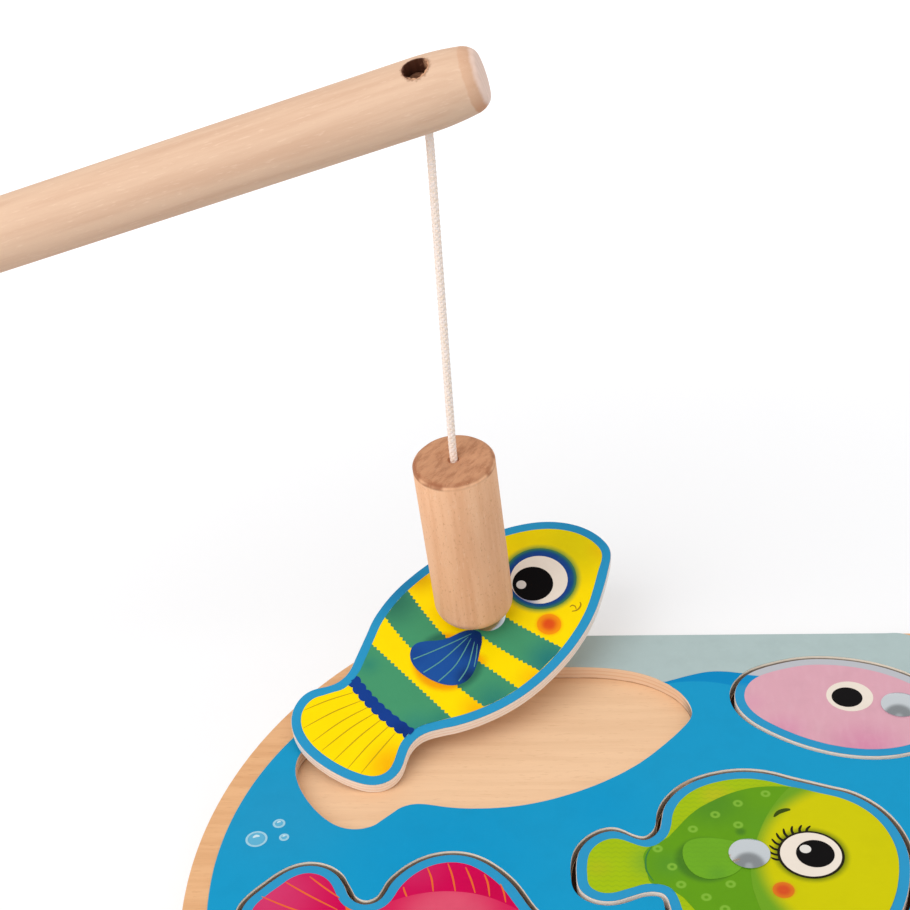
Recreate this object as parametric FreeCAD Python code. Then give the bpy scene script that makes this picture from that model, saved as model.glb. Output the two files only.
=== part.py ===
import FreeCAD, Part
import math
import os

# Magnetic fishing puzzle: a plywood fish-bowl board with fish pieces in its recesses, and a dowel rod
# whose cord and magnet holder have caught the striped fish. Millimetres, +Z up, origin in the middle of
# the board's round outline, on its underside.

Vector = FreeCAD.Vector

# Sheets, saw cuts and print; what lies in the plan below is drawn for a board of the drawn radius
BOARD_RADIUS = 118.9
DRAWN_RADIUS = 118.9
STRAIGHT_EDGE_Y = 88.85
BOARD_CORNER_ROUND = 3.0
BASE_PLY = 3.7
PIECE_PLY = 3.7
CUT_CLEARANCE = 1.2
PRINT_FILM = 0.10
INK = 0.05
PRINT_BORDER = 2.5
REST_GAP = 0.02
CUT_SAG = 0.13
SPOT_SAG = 0.08

# Printed area: side arcs that are upright where it is widest, a wide bottom arc and a wave line
WATER_SIDE_MARGIN = 5.4
WATER_BOTTOM_MARGIN = 8.4
WATER_TOP_HALF_WIDTH = 54.5
WATER_WIDEST_Y = 2.1
WAVE_LINE = [
    (-125.0, 66.0), (-95.0, 69.0), (-70.0, 71.5), (-45.0, 73.5), (-25.0, 72.5), (-7.5, 69.3), (0.0, 72.2),
    (6.0, 73.4), (12.0, 72.6), (20.0, 71.2), (33.0, 68.5), (48.0, 70.5), (62.0, 73.5), (78.0, 72.0),
    (95.0, 68.5), (125.0, 68.0)]
BUBBLES = [((-105.0, 12.0), 2.6), ((-100.4, 17.2), 1.5), ((-98.5, 12.6), 1.2)]
BUBBLE_LINE = 0.55

# Steel tacks that the magnet holds
TACK_RADIUS = 4.7
TACK_DOME = 1.3
TACK_RIM = 0.25
TACK_DOME_BANDS = 3
TACK_SIDES = 20
TACK_PIN_WIDTH = 1.2
TACK_PIN_LENGTH = 2.6
TACK_PIN_CLEARANCE = 0.05

# Magnet holder and magnet
HOLDER_RADIUS = 10.1
HOLDER_LENGTH = 50.5
HOLDER_FOOT_ROUND = 4.0
HOLDER_FOOT_BANDS = 2
HOLDER_TOP_CHAMFER = 1.0
HOLDER_CROWN = 10.0
HOLDER_LEAN_X = -2.4
HOLDER_LEAN_Y = -8.05
MAGNET_RADIUS = 4.0
MAGNET_HEIGHT = 6.0
MAGNET_CLEARANCE = 0.1
MAGNET_SIDES = 24
FOOT_TO_TACK = (-3.1, 0.7)
CATCH_GAP = 0.15

# Rod, cord and knots
ROD_RADIUS = 8.15
ROD_LENGTH = 200.0
ROD_HEADING = 0.3
ROD_RISE = 16.6
ROD_CHAMFER = 2.6
ROD_TIP_TO_HOLE = 15.3
ROD_HOLE_TURN = 25.0
ROD_HOLE_LEAN = 10.5
ROD_CORD_BORE_RADIUS = 1.75
ROD_KNOT_BORE_RADIUS = 2.7
ROD_KNOT_BORE_DEPTH = 7.0
CORD_RADIUS = 1.0
CORD_CLEARANCE = 0.35
CORD_FREE_LENGTH = 85.7
CORD_BEND_SHARE = 0.45
KNOT_RADIUS = 2.5
KNOT_FLAT = 1.9
KNOT_HEIGHT = 3.6
KNOT_SIDES = 14

# Caught striped fish: its turn from the seated place, and where its tack goes
CAUGHT_YAW = 24.3
CAUGHT_PITCH = -6.6
CAUGHT_ROLL = 19.2
CAUGHT_TACK = (-53.0, 77.0)

PLAN = BOARD_RADIUS / DRAWN_RADIUS
BOARD_TOP = BASE_PLY + PIECE_PLY
PRINT_TOP = PIECE_PLY + PRINT_FILM
FAR = 4 * BOARD_RADIUS

# Edge of each fish piece, seated, in board coordinates
STRIPED_OUTLINE = [
    (-2.5, 58.0), (-4.6, 63.8), (-10.0, 69.3), (-18.0, 72.9), (-28.5, 74.3), (-40.0, 73.9), (-50.5, 71.3),
    (-60.5, 67.0), (-69.3, 60.4), (-75.8, 53.2), (-79.8, 49.2), (-84.0, 47.8), (-90.0, 48.4), (-95.2, 45.8),
    (-97.9, 40.5), (-97.2, 33.0), (-93.8, 26.0), (-88.8, 19.8), (-84.3, 16.9), (-80.3, 16.8), (-76.3, 19.4),
    (-73.3, 23.0), (-69.3, 25.0), (-62.0, 24.3), (-53.0, 23.6), (-43.0, 24.7), (-33.0, 28.0), (-22.5, 33.7),
    (-13.0, 41.7), (-6.0, 50.3)]
GREEN_OUTLINE = [
    (45.0, 4.0), (44.2, 14.0), (40.0, 22.5), (32.5, 28.3), (24.5, 30.8), (16.5, 34.1), (9.5, 35.1),
    (3.0, 33.9), (-3.0, 31.0), (-7.7, 26.0), (-9.9, 20.5), (-10.8, 15.2), (-13.8, 12.1), (-20.7, 14.8),
    (-26.6, 12.4), (-29.4, 7.5), (-29.8, 1.0), (-28.9, -3.8), (-24.5, -7.1), (-19.5, -6.7), (-13.9, -4.5),
    (-10.4, -5.0), (-8.9, -9.5), (-6.4, -16.0), (-1.5, -22.0), (6.0, -26.3), (16.0, -26.6),
    (27.0, -23.4), (36.0, -17.5), (42.0, -8.0)]
MAGENTA_OUTLINE = [
    (-22.6, -25.5), (-27.0, -21.0), (-33.0, -15.9), (-38.6, -11.0), (-43.3, -3.4), (-48.6, 2.8), (-54.0, 6.3),
    (-59.5, 7.0), (-64.8, 5.3), (-69.2, 1.6), (-72.2, -3.2), (-74.0, -7.2), (-77.0, -8.5), (-80.3, -6.8),
    (-82.2, -3.2), (-84.6, 0.6), (-88.0, 2.9), (-92.0, 3.4), (-96.0, 1.7), (-100.6, -3.1), (-104.2, -8.2),
    (-105.0, -14.0), (-102.3, -21.5), (-97.0, -27.6), (-90.0, -30.9), (-84.3, -29.6), (-80.0, -26.4),
    (-75.5, -27.6), (-68.0, -35.2), (-58.0, -40.9), (-46.5, -42.3), (-35.0, -39.0), (-26.0, -32.3)]
PINK_OUTLINE = [
    (86.0, 57.0), (84.8, 64.8), (80.5, 68.8), (74.5, 68.2), (69.5, 64.4), (65.0, 62.6), (60.5, 65.4),
    (54.5, 70.8), (46.0, 75.6), (36.5, 78.0), (27.5, 77.9), (19.8, 75.6), (13.9, 72.3), (10.5, 67.2),
    (9.9, 61.0), (12.2, 55.4), (17.7, 49.8), (25.0, 45.0), (35.0, 41.3), (45.5, 40.8), (54.5, 43.8),
    (60.5, 48.6), (65.0, 51.8), (69.5, 49.8), (74.5, 46.0), (80.5, 45.6), (84.8, 49.6)]

# Striped fish: bands between a tail-side and a head-side line, scalloped tail band, side fin and spots
STRIPED_BANDS = [
    ([(-84.5, 64.0), (-78.6, 45.5), (-75.8, 37.0), (-71.0, 26.8), (-69.0, 22.0)],
     [(-75.0, 66.0), (-71.5, 55.0), (-66.3, 38.0), (-61.0, 27.0), (-58.5, 21.0)]),
    ([(-66.5, 71.0), (-64.9, 61.0), (-60.5, 44.5), (-52.0, 27.0), (-49.5, 21.0)],
     [(-57.5, 73.0), (-56.3, 66.0), (-53.0, 49.5), (-42.0, 28.0), (-38.5, 21.0)]),
    ([(-51.0, 77.0), (-50.2, 69.5), (-45.0, 47.0), (-35.0, 30.0), (-31.0, 24.0)],
     [(-43.5, 79.0), (-42.0, 72.5), (-36.4, 48.6), (-27.0, 34.0), (-23.0, 28.0)])]
TAIL_BAND_TOP = (-79.2, 47.5)
TAIL_BAND_FOOT = (-71.0, 25.5)
TAIL_BAND_BOW = 1.2
TAIL_SCALLOPS = 9
TAIL_SCALLOP_RADIUS = 1.75
STRIPED_FIN = [
    (-45.0, 47.6), (-48.6, 48.7), (-53.0, 48.4), (-57.5, 49.7), (-61.0, 50.1), (-63.2, 47.6), (-63.2, 43.2),
    (-61.0, 38.8), (-57.2, 35.3), (-53.3, 34.7), (-49.8, 36.9), (-46.8, 41.0)]
STRIPED_SPOTS = [
    ("cheek_print", 1, (-27.0, 41.6), 3.1), ("eye_ring_print", 1, (-23.3, 55.5), 9.6),
    ("eye_print", 2, (-23.7, 55.2), 7.5), ("pupil_print", 3, (-25.7, 54.7), 5.3),
    ("eye_glint_print", 4, (-28.6, 55.6), 1.3)]
STRIPED_TACK = (-40.5, 50.4)

# Green fish: body inside the fins, face in front of a line, side fin and spots
GREEN_BODY = [
    (-14.2, 4.0), (-13.0, 9.6), (-8.6, 12.8), (-5.4, 17.6), (-0.6, 22.8), (5.4, 26.9), (12.5, 29.5),
    (21.0, 29.6), (32.0, 27.0), (42.0, 18.0), (45.0, 5.0), (42.0, -8.0), (34.0, -18.0), (24.0, -23.0),
    (14.0, -23.6), (6.0, -20.0), (-0.5, -14.5), (-5.0, -7.5), (-8.8, -3.6), (-12.8, -1.8)]
GREEN_FACE_BACK = [
    (23.5, 33.0), (18.2, 26.5), (13.4, 17.5), (10.8, 9.5), (9.4, 1.0), (10.8, -10.0), (15.0, -30.0)]
GREEN_FACE_FRONT = [(60.0, 60.0), (60.0, -60.0)]
GREEN_FIN = [
    (8.0, 10.9), (3.0, 12.2), (-1.2, 12.4), (-4.5, 11.0), (-5.6, 7.6), (-5.0, 4.0), (-3.2, 1.0),
    (-0.2, -0.5), (3.0, -0.1), (7.0, 2.4)]
GREEN_SPOTS = [
    ("cheek_print", 3, (16.2, -3.8), 2.4), ("eye_ring_print", 3, (23.3, 7.2), 7.5),
    ("eye_print", 4, (23.3, 7.2), 6.9), ("pupil_print", 5, (24.3, 7.4), 4.3),
    ("eye_glint_print", 6, (22.2, 8.8), 1.3)]
GREEN_TACK = (9.5, 7.3)

# Magenta fish: body inside the fins, band across the tail root and spots
MAGENTA_BODY = [
    (-79.5, -17.5), (-77.8, -12.5), (-73.0, -8.6), (-67.5, -6.1), (-61.5, -4.7), (-56.0, -4.7), (-50.0, -6.0),
    (-44.5, -8.8), (-38.0, -13.2), (-31.0, -19.0), (-25.5, -26.0), (-29.5, -32.5), (-38.0, -35.6),
    (-48.0, -36.6), (-58.0, -34.6), (-67.0, -29.6), (-73.5, -25.2), (-77.8, -22.5)]
MAGENTA_TAIL_BAND = (
    [(-83.2, -4.0), (-81.4, -9.0), (-81.4, -24.0), (-83.2, -31.0)],
    [(-78.6, -4.0), (-78.2, -9.0), (-78.2, -24.0), (-78.6, -31.0)])
MAGENTA_SPOTS = [("eye_print", 2, (-38.5, -21.0), 5.8), ("pupil_print", 3, (-37.8, -21.4), 3.8)]
MAGENTA_TACK = (-52.0, -21.0)

# Pink fish: side fin and spots
PINK_FIN = [(57.0, 61.5), (61.5, 63.0), (66.0, 61.0), (67.0, 57.0), (63.0, 53.5), (57.5, 55.5)]
PINK_SPOTS = [("eye_print", 1, (38.5, 63.0), 5.8), ("pupil_print", 2, (37.8, 62.6), 3.8)]
PINK_TACK = (50.5, 59.5)


# Outlines and flat areas

def plan(points):
    """Places in the board's plan for points that are drawn for the drawn radius."""
    return [Vector(x * PLAN, y * PLAN, 0) for x, y in points]


def closed_curve(places):
    """Smooth closed curve through the places."""
    curve = Part.BSplineCurve()
    curve.interpolate(places, PeriodicFlag=True)
    return curve


def sawn_line(places):
    """Short straight cuts along the smooth line through the places."""
    if len(places) == 2:
        return places
    curve = Part.BSplineCurve()
    curve.interpolate(places)
    return curve.toShape().discretize(QuasiDeflection=CUT_SAG)


def polygon_face(corners):
    return Part.Face(Part.makePolygon(corners + corners[:1]))


def curve_face(places):
    """Area inside the smooth closed curve, cut in short straights."""
    return polygon_face(closed_curve(places).toShape().discretize(QuasiDeflection=CUT_SAG)[:-1])


def grown(places, distance):
    """The same outline moved outwards by a distance, or inwards where it is negative."""
    curve = closed_curve(places)
    moved = []
    for place in places:
        tangent = curve.tangent(curve.parameter(place))[0]
        moved.append(place + Vector(tangent.y, -tangent.x, 0) * distance)
    return moved


def strip_face(left, right):
    """Band between two smooth lines that run the same way."""
    return polygon_face(sawn_line(plan(left)) + sawn_line(plan(right))[::-1])


def disc_face(middle, radius):
    """Printed disc of short straights."""
    sides = math.ceil(math.pi / math.acos(1 - SPOT_SAG / radius))
    turns = [2 * math.pi * i / sides for i in range(sides)]
    return polygon_face([middle + Vector(math.cos(turn), math.sin(turn), 0) * radius for turn in turns])


def slab(face, low, thickness):
    solid = face.extrude(Vector(0, 0, thickness))
    solid.translate(Vector(0, 0, low))
    return solid


def turned(profile):
    """Solid turned about the Z axis from a closed profile of radius and height pairs."""
    corners = [Vector(radius, 0, height) for radius, height in profile]
    face = Part.Face(Part.makePolygon(corners + corners[:1]))
    return face.revolve(Vector(0, 0, 0), Vector(0, 0, 1), 360)


def turned_flats(profile, sides):
    """The same with flats around it, for small pieces; the profile starts and ends on the axis."""
    rings = []
    for radius, height in profile:
        turns = [2 * math.pi * i / sides for i in range(sides)]
        rings.append([Vector(radius * math.cos(turn), radius * math.sin(turn), height) for turn in turns])
    faces = []
    for lower, upper in zip(rings[1:-2], rings[2:-1]):
        for i in range(sides):
            faces.append(polygon_face([lower[i - 1], lower[i], upper[i], upper[i - 1]]))
    faces.append(polygon_face(rings[1]))
    faces.append(polygon_face(rings[-2]))
    return Part.Solid(Part.Shell(faces))


def write(name, shape):
    shape.exportStep("parts/" + name + ".step")


# Boards and their print

def bowl_face():
    """Round outline cut off by the straight edge."""
    edge = STRAIGHT_EDGE_Y * PLAN
    half = math.sqrt(BOARD_RADIUS ** 2 - edge ** 2)
    left = Vector(-half, edge, 0)
    right = Vector(half, edge, 0)
    round_edge = Part.Arc(left, Vector(0, -BOARD_RADIUS, 0), right).toShape()
    return Part.Face(Part.Wire([round_edge, Part.LineSegment(right, left).toShape()]))


def board_blank(low, thickness):
    """Board with its two sharp corners rounded off."""
    blank = slab(bowl_face(), low, thickness)
    corners = [edge for edge in blank.Edges if edge.BoundBox.DiagonalLength < thickness + REST_GAP]
    return blank.makeFillet(BOARD_CORNER_ROUND, corners)


def print_face():
    """Whole printed area of the board, water and sky together."""
    half_width = BOARD_RADIUS - WATER_SIDE_MARGIN
    widest_y = WATER_WIDEST_Y * PLAN
    edge_y = STRAIGHT_EDGE_Y * PLAN
    top_x = WATER_TOP_HALF_WIDTH * PLAN
    draw_in = half_width - top_x
    height = edge_y - widest_y
    side_radius = (draw_in ** 2 + height ** 2) / (2 * draw_in)
    half_turn = math.atan2(height, side_radius - draw_in) / 2
    mid_x = half_width - side_radius * (1 - math.cos(half_turn))
    mid_y = widest_y + side_radius * math.sin(half_turn)
    top_right = Vector(top_x, edge_y, 0)
    top_left = Vector(-top_x, edge_y, 0)
    right = Vector(half_width, widest_y, 0)
    left = Vector(-half_width, widest_y, 0)
    bottom = Vector(0, WATER_BOTTOM_MARGIN - BOARD_RADIUS, 0)
    edges = [
        Part.Arc(top_right, Vector(mid_x, mid_y, 0), right),
        Part.Arc(right, bottom, left),
        Part.Arc(left, Vector(-mid_x, mid_y, 0), top_left),
        Part.LineSegment(top_left, top_right)]
    return Part.Face(Part.Wire([edge.toShape() for edge in edges]))


def below_wave_face():
    """Everything under the wave line, to be shared with a printed area."""
    line = sawn_line(plan(WAVE_LINE))
    return polygon_face(line + [Vector(line[-1].x, -FAR, 0), Vector(line[0].x, -FAR, 0)])


def bubble_rings():
    rings = []
    for middle, radius in BUBBLES:
        place = plan([middle])[0]
        ring = disc_face(place, radius).cut(disc_face(place, radius - BUBBLE_LINE))
        rings.append(slab(ring, BOARD_TOP + PRINT_FILM, INK))
    return Part.makeCompound(rings)


def board_parts():
    """Two plywood boards and the printed fields on the upper one."""
    top = board_blank(BASE_PLY, PIECE_PLY)
    printed = print_face()
    for fish in FISH:
        recess = curve_face(grown(plan(fish["outline"]), CUT_CLEARANCE))
        top = top.cut(slab(recess, 0, 2 * BOARD_TOP))
        printed = printed.cut(recess)
    water_area = below_wave_face()
    write("base_board", board_blank(0, BASE_PLY))
    write("top_board", top)
    write("water_print", slab(printed.common(water_area), BOARD_TOP, PRINT_FILM))
    write("sky_print", slab(printed.cut(water_area), BOARD_TOP, PRINT_FILM))
    write("bubble_print", bubble_rings())


# Printed fields of the fish, each as a name, an ink level and its faces

def spots(rows):
    fields = []
    for name, level, middle, radius in rows:
        fields.append((name, level, [disc_face(plan([middle])[0], radius * PLAN)]))
    return fields


def tail_scallops():
    """Row of overlapping discs along a bowed line, joined to one field."""
    top, foot = plan([TAIL_BAND_TOP, TAIL_BAND_FOOT])
    discs = []
    for i in range(TAIL_SCALLOPS):
        share = (i + 0.5) / TAIL_SCALLOPS
        bow = Vector(-4 * TAIL_BAND_BOW * share * (1 - share), 0, 0)
        discs.append(disc_face(top + (foot - top) * share + bow, TAIL_SCALLOP_RADIUS * PLAN))
    return discs[0].multiFuse(discs[1:]).removeSplitter()


def striped_fields():
    body = curve_face(grown(plan(STRIPED_OUTLINE), -PRINT_BORDER))
    bands = [strip_face(left, right).common(body) for left, right in STRIPED_BANDS]
    return [
        ("body_print", 0, [body]),
        ("bands_print", 1, bands),
        ("tail_band_print", 2, [tail_scallops().common(body)]),
        ("side_fin_print", 2, [curve_face(plan(STRIPED_FIN))])] + spots(STRIPED_SPOTS)


def green_fields():
    fins = curve_face(grown(plan(GREEN_OUTLINE), -PRINT_BORDER))
    body = curve_face(plan(GREEN_BODY)).common(fins)
    face = strip_face(GREEN_FACE_BACK, GREEN_FACE_FRONT).common(body)
    return [
        ("fins_print", 0, [fins]),
        ("body_print", 1, [body]),
        ("face_print", 2, [face]),
        ("side_fin_print", 3, [curve_face(plan(GREEN_FIN))])] + spots(GREEN_SPOTS)


def magenta_fields():
    fins = curve_face(grown(plan(MAGENTA_OUTLINE), -PRINT_BORDER))
    body = curve_face(plan(MAGENTA_BODY)).common(fins)
    tail_band = strip_face(*MAGENTA_TAIL_BAND).common(fins)
    return [
        ("fins_print", 0, [fins]),
        ("body_print", 1, [body]),
        ("tail_band_print", 2, [tail_band])] + spots(MAGENTA_SPOTS)


def pink_fields():
    body = curve_face(grown(plan(PINK_OUTLINE), -PRINT_BORDER))
    return [
        ("body_print", 0, [body]),
        ("side_fin_print", 1, [curve_face(plan(PINK_FIN))])] + spots(PINK_SPOTS)


# Fish pieces

FISH = [
    {"name": "striped_fish", "outline": STRIPED_OUTLINE, "tack": STRIPED_TACK, "fields": striped_fields},
    {"name": "green_fish", "outline": GREEN_OUTLINE, "tack": GREEN_TACK, "fields": green_fields},
    {"name": "magenta_fish", "outline": MAGENTA_OUTLINE, "tack": MAGENTA_TACK, "fields": magenta_fields},
    {"name": "pink_fish", "outline": PINK_OUTLINE, "tack": PINK_TACK, "fields": pink_fields}]


def tack():
    """Steel tack: a low dome with a thin rim on a square pin."""
    rise = TACK_DOME - TACK_RIM
    cap_radius = (TACK_RADIUS ** 2 + rise ** 2) / (2 * rise)
    spread = math.asin(TACK_RADIUS / cap_radius)
    profile = [(0, 0), (TACK_RADIUS, 0)]
    for i in range(TACK_DOME_BANDS):
        turn = spread * (1 - i / TACK_DOME_BANDS)
        profile.append((cap_radius * math.sin(turn), TACK_DOME - cap_radius * (1 - math.cos(turn))))
    profile.append((0, profile[-1][1]))
    corner = Vector(-TACK_PIN_WIDTH / 2, -TACK_PIN_WIDTH / 2, -TACK_PIN_LENGTH)
    pin = Part.makeBox(TACK_PIN_WIDTH, TACK_PIN_WIDTH, TACK_PIN_LENGTH, corner)
    return turned_flats(profile, TACK_SIDES).fuse(pin)


def pin_hole(middle):
    width = TACK_PIN_WIDTH + 2 * TACK_PIN_CLEARANCE
    low = PIECE_PLY - TACK_PIN_LENGTH - TACK_PIN_CLEARANCE
    return Part.makeBox(width, width, PIECE_PLY, middle + Vector(-width / 2, -width / 2, low))


def tack_seat(fields, middle):
    """Height of the print under a tack's head."""
    head = disc_face(middle, TACK_RADIUS)
    levels = [level + 1 for name, level, faces in fields for face in faces if face.common(head).Area > 0]
    return PRINT_TOP + max(levels) * INK


def caught_placement():
    """Where the caught fish goes: turned about its tack, lowest edge on the recess floor."""
    turn = FreeCAD.Rotation(CAUGHT_YAW, CAUGHT_PITCH, CAUGHT_ROLL)
    seated, caught = plan([STRIPED_TACK, CAUGHT_TACK])
    seated.z = PIECE_PLY
    underside = curve_face(plan(STRIPED_OUTLINE)).Vertexes
    lowest = min(turn.multVec(corner.Point - seated).z for corner in underside)
    caught.z = BASE_PLY + REST_GAP - lowest
    return FreeCAD.Placement(caught - turn.multVec(seated), turn)


def fish_parts(fish, placement):
    """Plywood blank, border film, printed fields and tack of one fish; returns the tack's seat."""
    name = fish["name"]
    middle = plan([fish["tack"]])[0]
    outline = curve_face(plan(fish["outline"]))
    hole = pin_hole(middle)
    fields = fish["fields"]()
    seat = middle + Vector(0, 0, tack_seat(fields, middle))
    head = tack()
    head.translate(seat)
    pieces = {
        name: slab(outline, 0, PIECE_PLY).cut(hole),
        name + "_border_print": slab(outline, PIECE_PLY, PRINT_FILM).cut(hole),
        name + "_tack": head}
    for field, level, faces in fields:
        solids = [slab(face, PRINT_TOP + level * INK, INK).cut(hole) for face in faces]
        pieces[name + "_" + field] = solids[0] if len(solids) == 1 else Part.makeCompound(solids)
    for key, shape in pieces.items():
        shape.Placement = placement.multiply(shape.Placement)
        write(key, shape)
    return placement.multVec(seat)


# Magnet holder, rod and cord

def knot(height, side):
    """Knot with a flat where the cord meets it, standing up (side 1) or hanging down (side -1)."""
    bevel = KNOT_RADIUS - KNOT_FLAT
    profile = [(0, 0), (KNOT_FLAT, 0), (KNOT_RADIUS, bevel), (KNOT_RADIUS, KNOT_HEIGHT - bevel),
               (KNOT_FLAT, KNOT_HEIGHT), (0, KNOT_HEIGHT)]
    return turned_flats([(radius, height + side * rise) for radius, rise in profile], KNOT_SIDES)


def magnet_holder():
    """Turned cylinder with a rounded foot, a magnet chamber from below and a cord hole at the crown."""
    chamber = MAGNET_RADIUS + MAGNET_CLEARANCE
    bore = CORD_RADIUS + CORD_CLEARANCE
    roof = HOLDER_LENGTH - HOLDER_CROWN
    profile = [(chamber, roof), (chamber, 0)]
    for i in range(HOLDER_FOOT_BANDS + 1):
        turn = math.pi / 2 * i / HOLDER_FOOT_BANDS
        radius = HOLDER_RADIUS - HOLDER_FOOT_ROUND * (1 - math.sin(turn))
        profile.append((radius, HOLDER_FOOT_ROUND * (1 - math.cos(turn))))
    profile += [(HOLDER_RADIUS, HOLDER_LENGTH - HOLDER_TOP_CHAMFER),
                (HOLDER_RADIUS - HOLDER_TOP_CHAMFER, HOLDER_LENGTH), (bore, HOLDER_LENGTH), (bore, roof)]
    return turned(profile)


def holder_foot(caught, seat, lean):
    """Middle of the holder's foot, its rounded rim just clear of the tack."""
    normal = caught.Rotation.multVec(Vector(0, 0, 1))
    tip = lean.getAngle(normal)
    reach = (HOLDER_RADIUS - HOLDER_FOOT_ROUND) * math.sin(tip) + HOLDER_FOOT_ROUND * (1 - math.cos(tip))
    foot = seat + Vector(FOOT_TO_TACK[0], FOOT_TO_TACK[1], 0)
    foot.z += (reach + CATCH_GAP - (foot - seat).dot(normal)) / normal.z
    return foot


def holder_parts(foot, lean):
    stand = FreeCAD.Placement(foot, FreeCAD.Rotation(Vector(0, 0, 1), lean))
    magnet = [(0, 0), (MAGNET_RADIUS, 0), (MAGNET_RADIUS, MAGNET_HEIGHT), (0, MAGNET_HEIGHT)]
    pieces = {
        "magnet_holder": magnet_holder(),
        "magnet": turned_flats(magnet, MAGNET_SIDES),
        "lower_knot": knot(HOLDER_LENGTH - HOLDER_CROWN, -1)}
    for name, shape in pieces.items():
        shape.Placement = stand
        write(name, shape)


def rod_parts(exit_point):
    """Dowel rod, its cross hole above the cord's exit and the knot in it; returns the knot's seat."""
    heading = math.radians(ROD_HEADING)
    rise = math.radians(ROD_RISE)
    level = Vector(math.cos(heading), math.sin(heading), 0)
    up = Vector(0, 0, 1)
    along = level * math.cos(rise) + up * math.sin(rise)
    across = up * math.cos(rise) - level * math.sin(rise)
    turn = math.radians(ROD_HOLE_TURN)
    lean = math.radians(ROD_HOLE_LEAN)
    square = across * math.cos(turn) + along.cross(across) * math.sin(turn)
    bore = square * math.cos(lean) + along * math.sin(lean)
    through = 2 * ROD_RADIUS / math.cos(lean)
    start = exit_point + square * ROD_RADIUS + along * (ROD_TIP_TO_HOLE - ROD_LENGTH)
    face = ROD_RADIUS - ROD_CHAMFER
    rod = turned([(0, 0), (face, 0), (ROD_RADIUS, ROD_CHAMFER), (ROD_RADIUS, ROD_LENGTH - ROD_CHAMFER),
                  (face, ROD_LENGTH), (0, ROD_LENGTH)])
    rod.Placement = FreeCAD.Placement(start, FreeCAD.Rotation(up, along))
    step = exit_point + bore * (through - ROD_KNOT_BORE_DEPTH)
    low_end = exit_point - bore * ROD_RADIUS
    cord_hole = Part.makeCylinder(ROD_CORD_BORE_RADIUS, 4 * ROD_RADIUS, low_end, bore)
    knot_hole = Part.makeCylinder(ROD_KNOT_BORE_RADIUS, 2 * ROD_RADIUS, step, bore)
    upper_knot = knot(0, 1)
    upper_knot.Placement = FreeCAD.Placement(step, FreeCAD.Rotation(up, bore))
    write("rod", rod.cut(cord_hole).cut(knot_hole))
    write("upper_knot", upper_knot)
    return step


def cord_tube(points):
    """Straight runs joined by tangent arcs, each as large as its two runs allow."""
    edges = []
    start = points[0]
    for before, corner, after in zip(points, points[1:], points[2:]):
        toward = before - corner
        onward = after - corner
        tangent = CORD_BEND_SHARE * min(toward.Length, onward.Length)
        half_turn = (math.pi - toward.getAngle(onward)) / 2
        radius = tangent / math.tan(half_turn)
        toward.normalize()
        onward.normalize()
        inward = (toward + onward).normalize()
        arc_start = corner + toward * tangent
        arc_middle = corner + inward * (radius / math.cos(half_turn) - radius)
        arc_end = corner + onward * tangent
        edges.append(Part.LineSegment(start, arc_start).toShape())
        edges.append(Part.Arc(arc_start, arc_middle, arc_end).toShape())
        print("cord bend radius", round(radius, 1), "turn", round(math.degrees(2 * half_turn), 1))
        start = arc_end
    edges.append(Part.LineSegment(start, points[-1]).toShape())
    path = Part.Wire(edges)
    section = Part.Wire([Part.makeCircle(CORD_RADIUS, points[0], points[1] - points[0])])
    tube = path.makePipeShell([section], True, True)
    share = tube.Volume / (math.pi * CORD_RADIUS ** 2 * path.Length)
    print("cord length", round(path.Length, 2), "volume share", round(share, 4))
    for point in points:
        print("cord point", [round(value, 3) for value in point])
    return tube


def rod_and_holder(caught, seat):
    """Magnet holder on the caught tack, the plumb cord above it and the rod that carries the cord."""
    lean = Vector(math.tan(math.radians(HOLDER_LEAN_X)), math.tan(math.radians(HOLDER_LEAN_Y)), 1).normalize()
    foot = holder_foot(caught, seat, lean)
    crown = foot + lean * HOLDER_LENGTH
    exit_point = crown + Vector(0, 0, CORD_FREE_LENGTH)
    holder_parts(foot, lean)
    step = rod_parts(exit_point)
    write("cord", cord_tube([step, exit_point, crown, crown - lean * HOLDER_CROWN]))


def main():
    os.makedirs("parts", exist_ok=True)
    board_parts()
    seated = FreeCAD.Placement(Vector(0, 0, BASE_PLY), FreeCAD.Rotation())
    caught = caught_placement()
    for fish in FISH[1:]:
        fish_parts(fish, seated)
    rod_and_holder(caught, fish_parts(FISH[0], caught))


main()
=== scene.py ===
import bmesh
import bpy
import math
from mathutils import Euler, Matrix, Vector


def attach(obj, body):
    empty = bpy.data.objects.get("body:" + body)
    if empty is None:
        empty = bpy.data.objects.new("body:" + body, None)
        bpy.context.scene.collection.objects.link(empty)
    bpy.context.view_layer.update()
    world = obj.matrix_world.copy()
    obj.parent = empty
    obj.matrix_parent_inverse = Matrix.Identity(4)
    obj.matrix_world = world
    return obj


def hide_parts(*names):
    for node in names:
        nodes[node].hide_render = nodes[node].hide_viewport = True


# Magnetic fishing puzzle: a plywood board with fish pieces, and a rod whose magnet has lifted one fish.
# Shapes are in the board's plan, in millimetres, and go into the scene in metres.

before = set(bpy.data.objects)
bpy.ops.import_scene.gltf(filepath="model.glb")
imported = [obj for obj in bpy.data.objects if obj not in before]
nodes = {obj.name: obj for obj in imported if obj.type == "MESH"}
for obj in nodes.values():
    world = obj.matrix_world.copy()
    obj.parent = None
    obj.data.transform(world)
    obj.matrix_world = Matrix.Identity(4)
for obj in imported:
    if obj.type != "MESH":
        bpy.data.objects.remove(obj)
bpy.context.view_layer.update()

MM = 0.001
BASE_PLY = 3.7
PLY = 3.7
BOARD_TOP = 7.4

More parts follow.
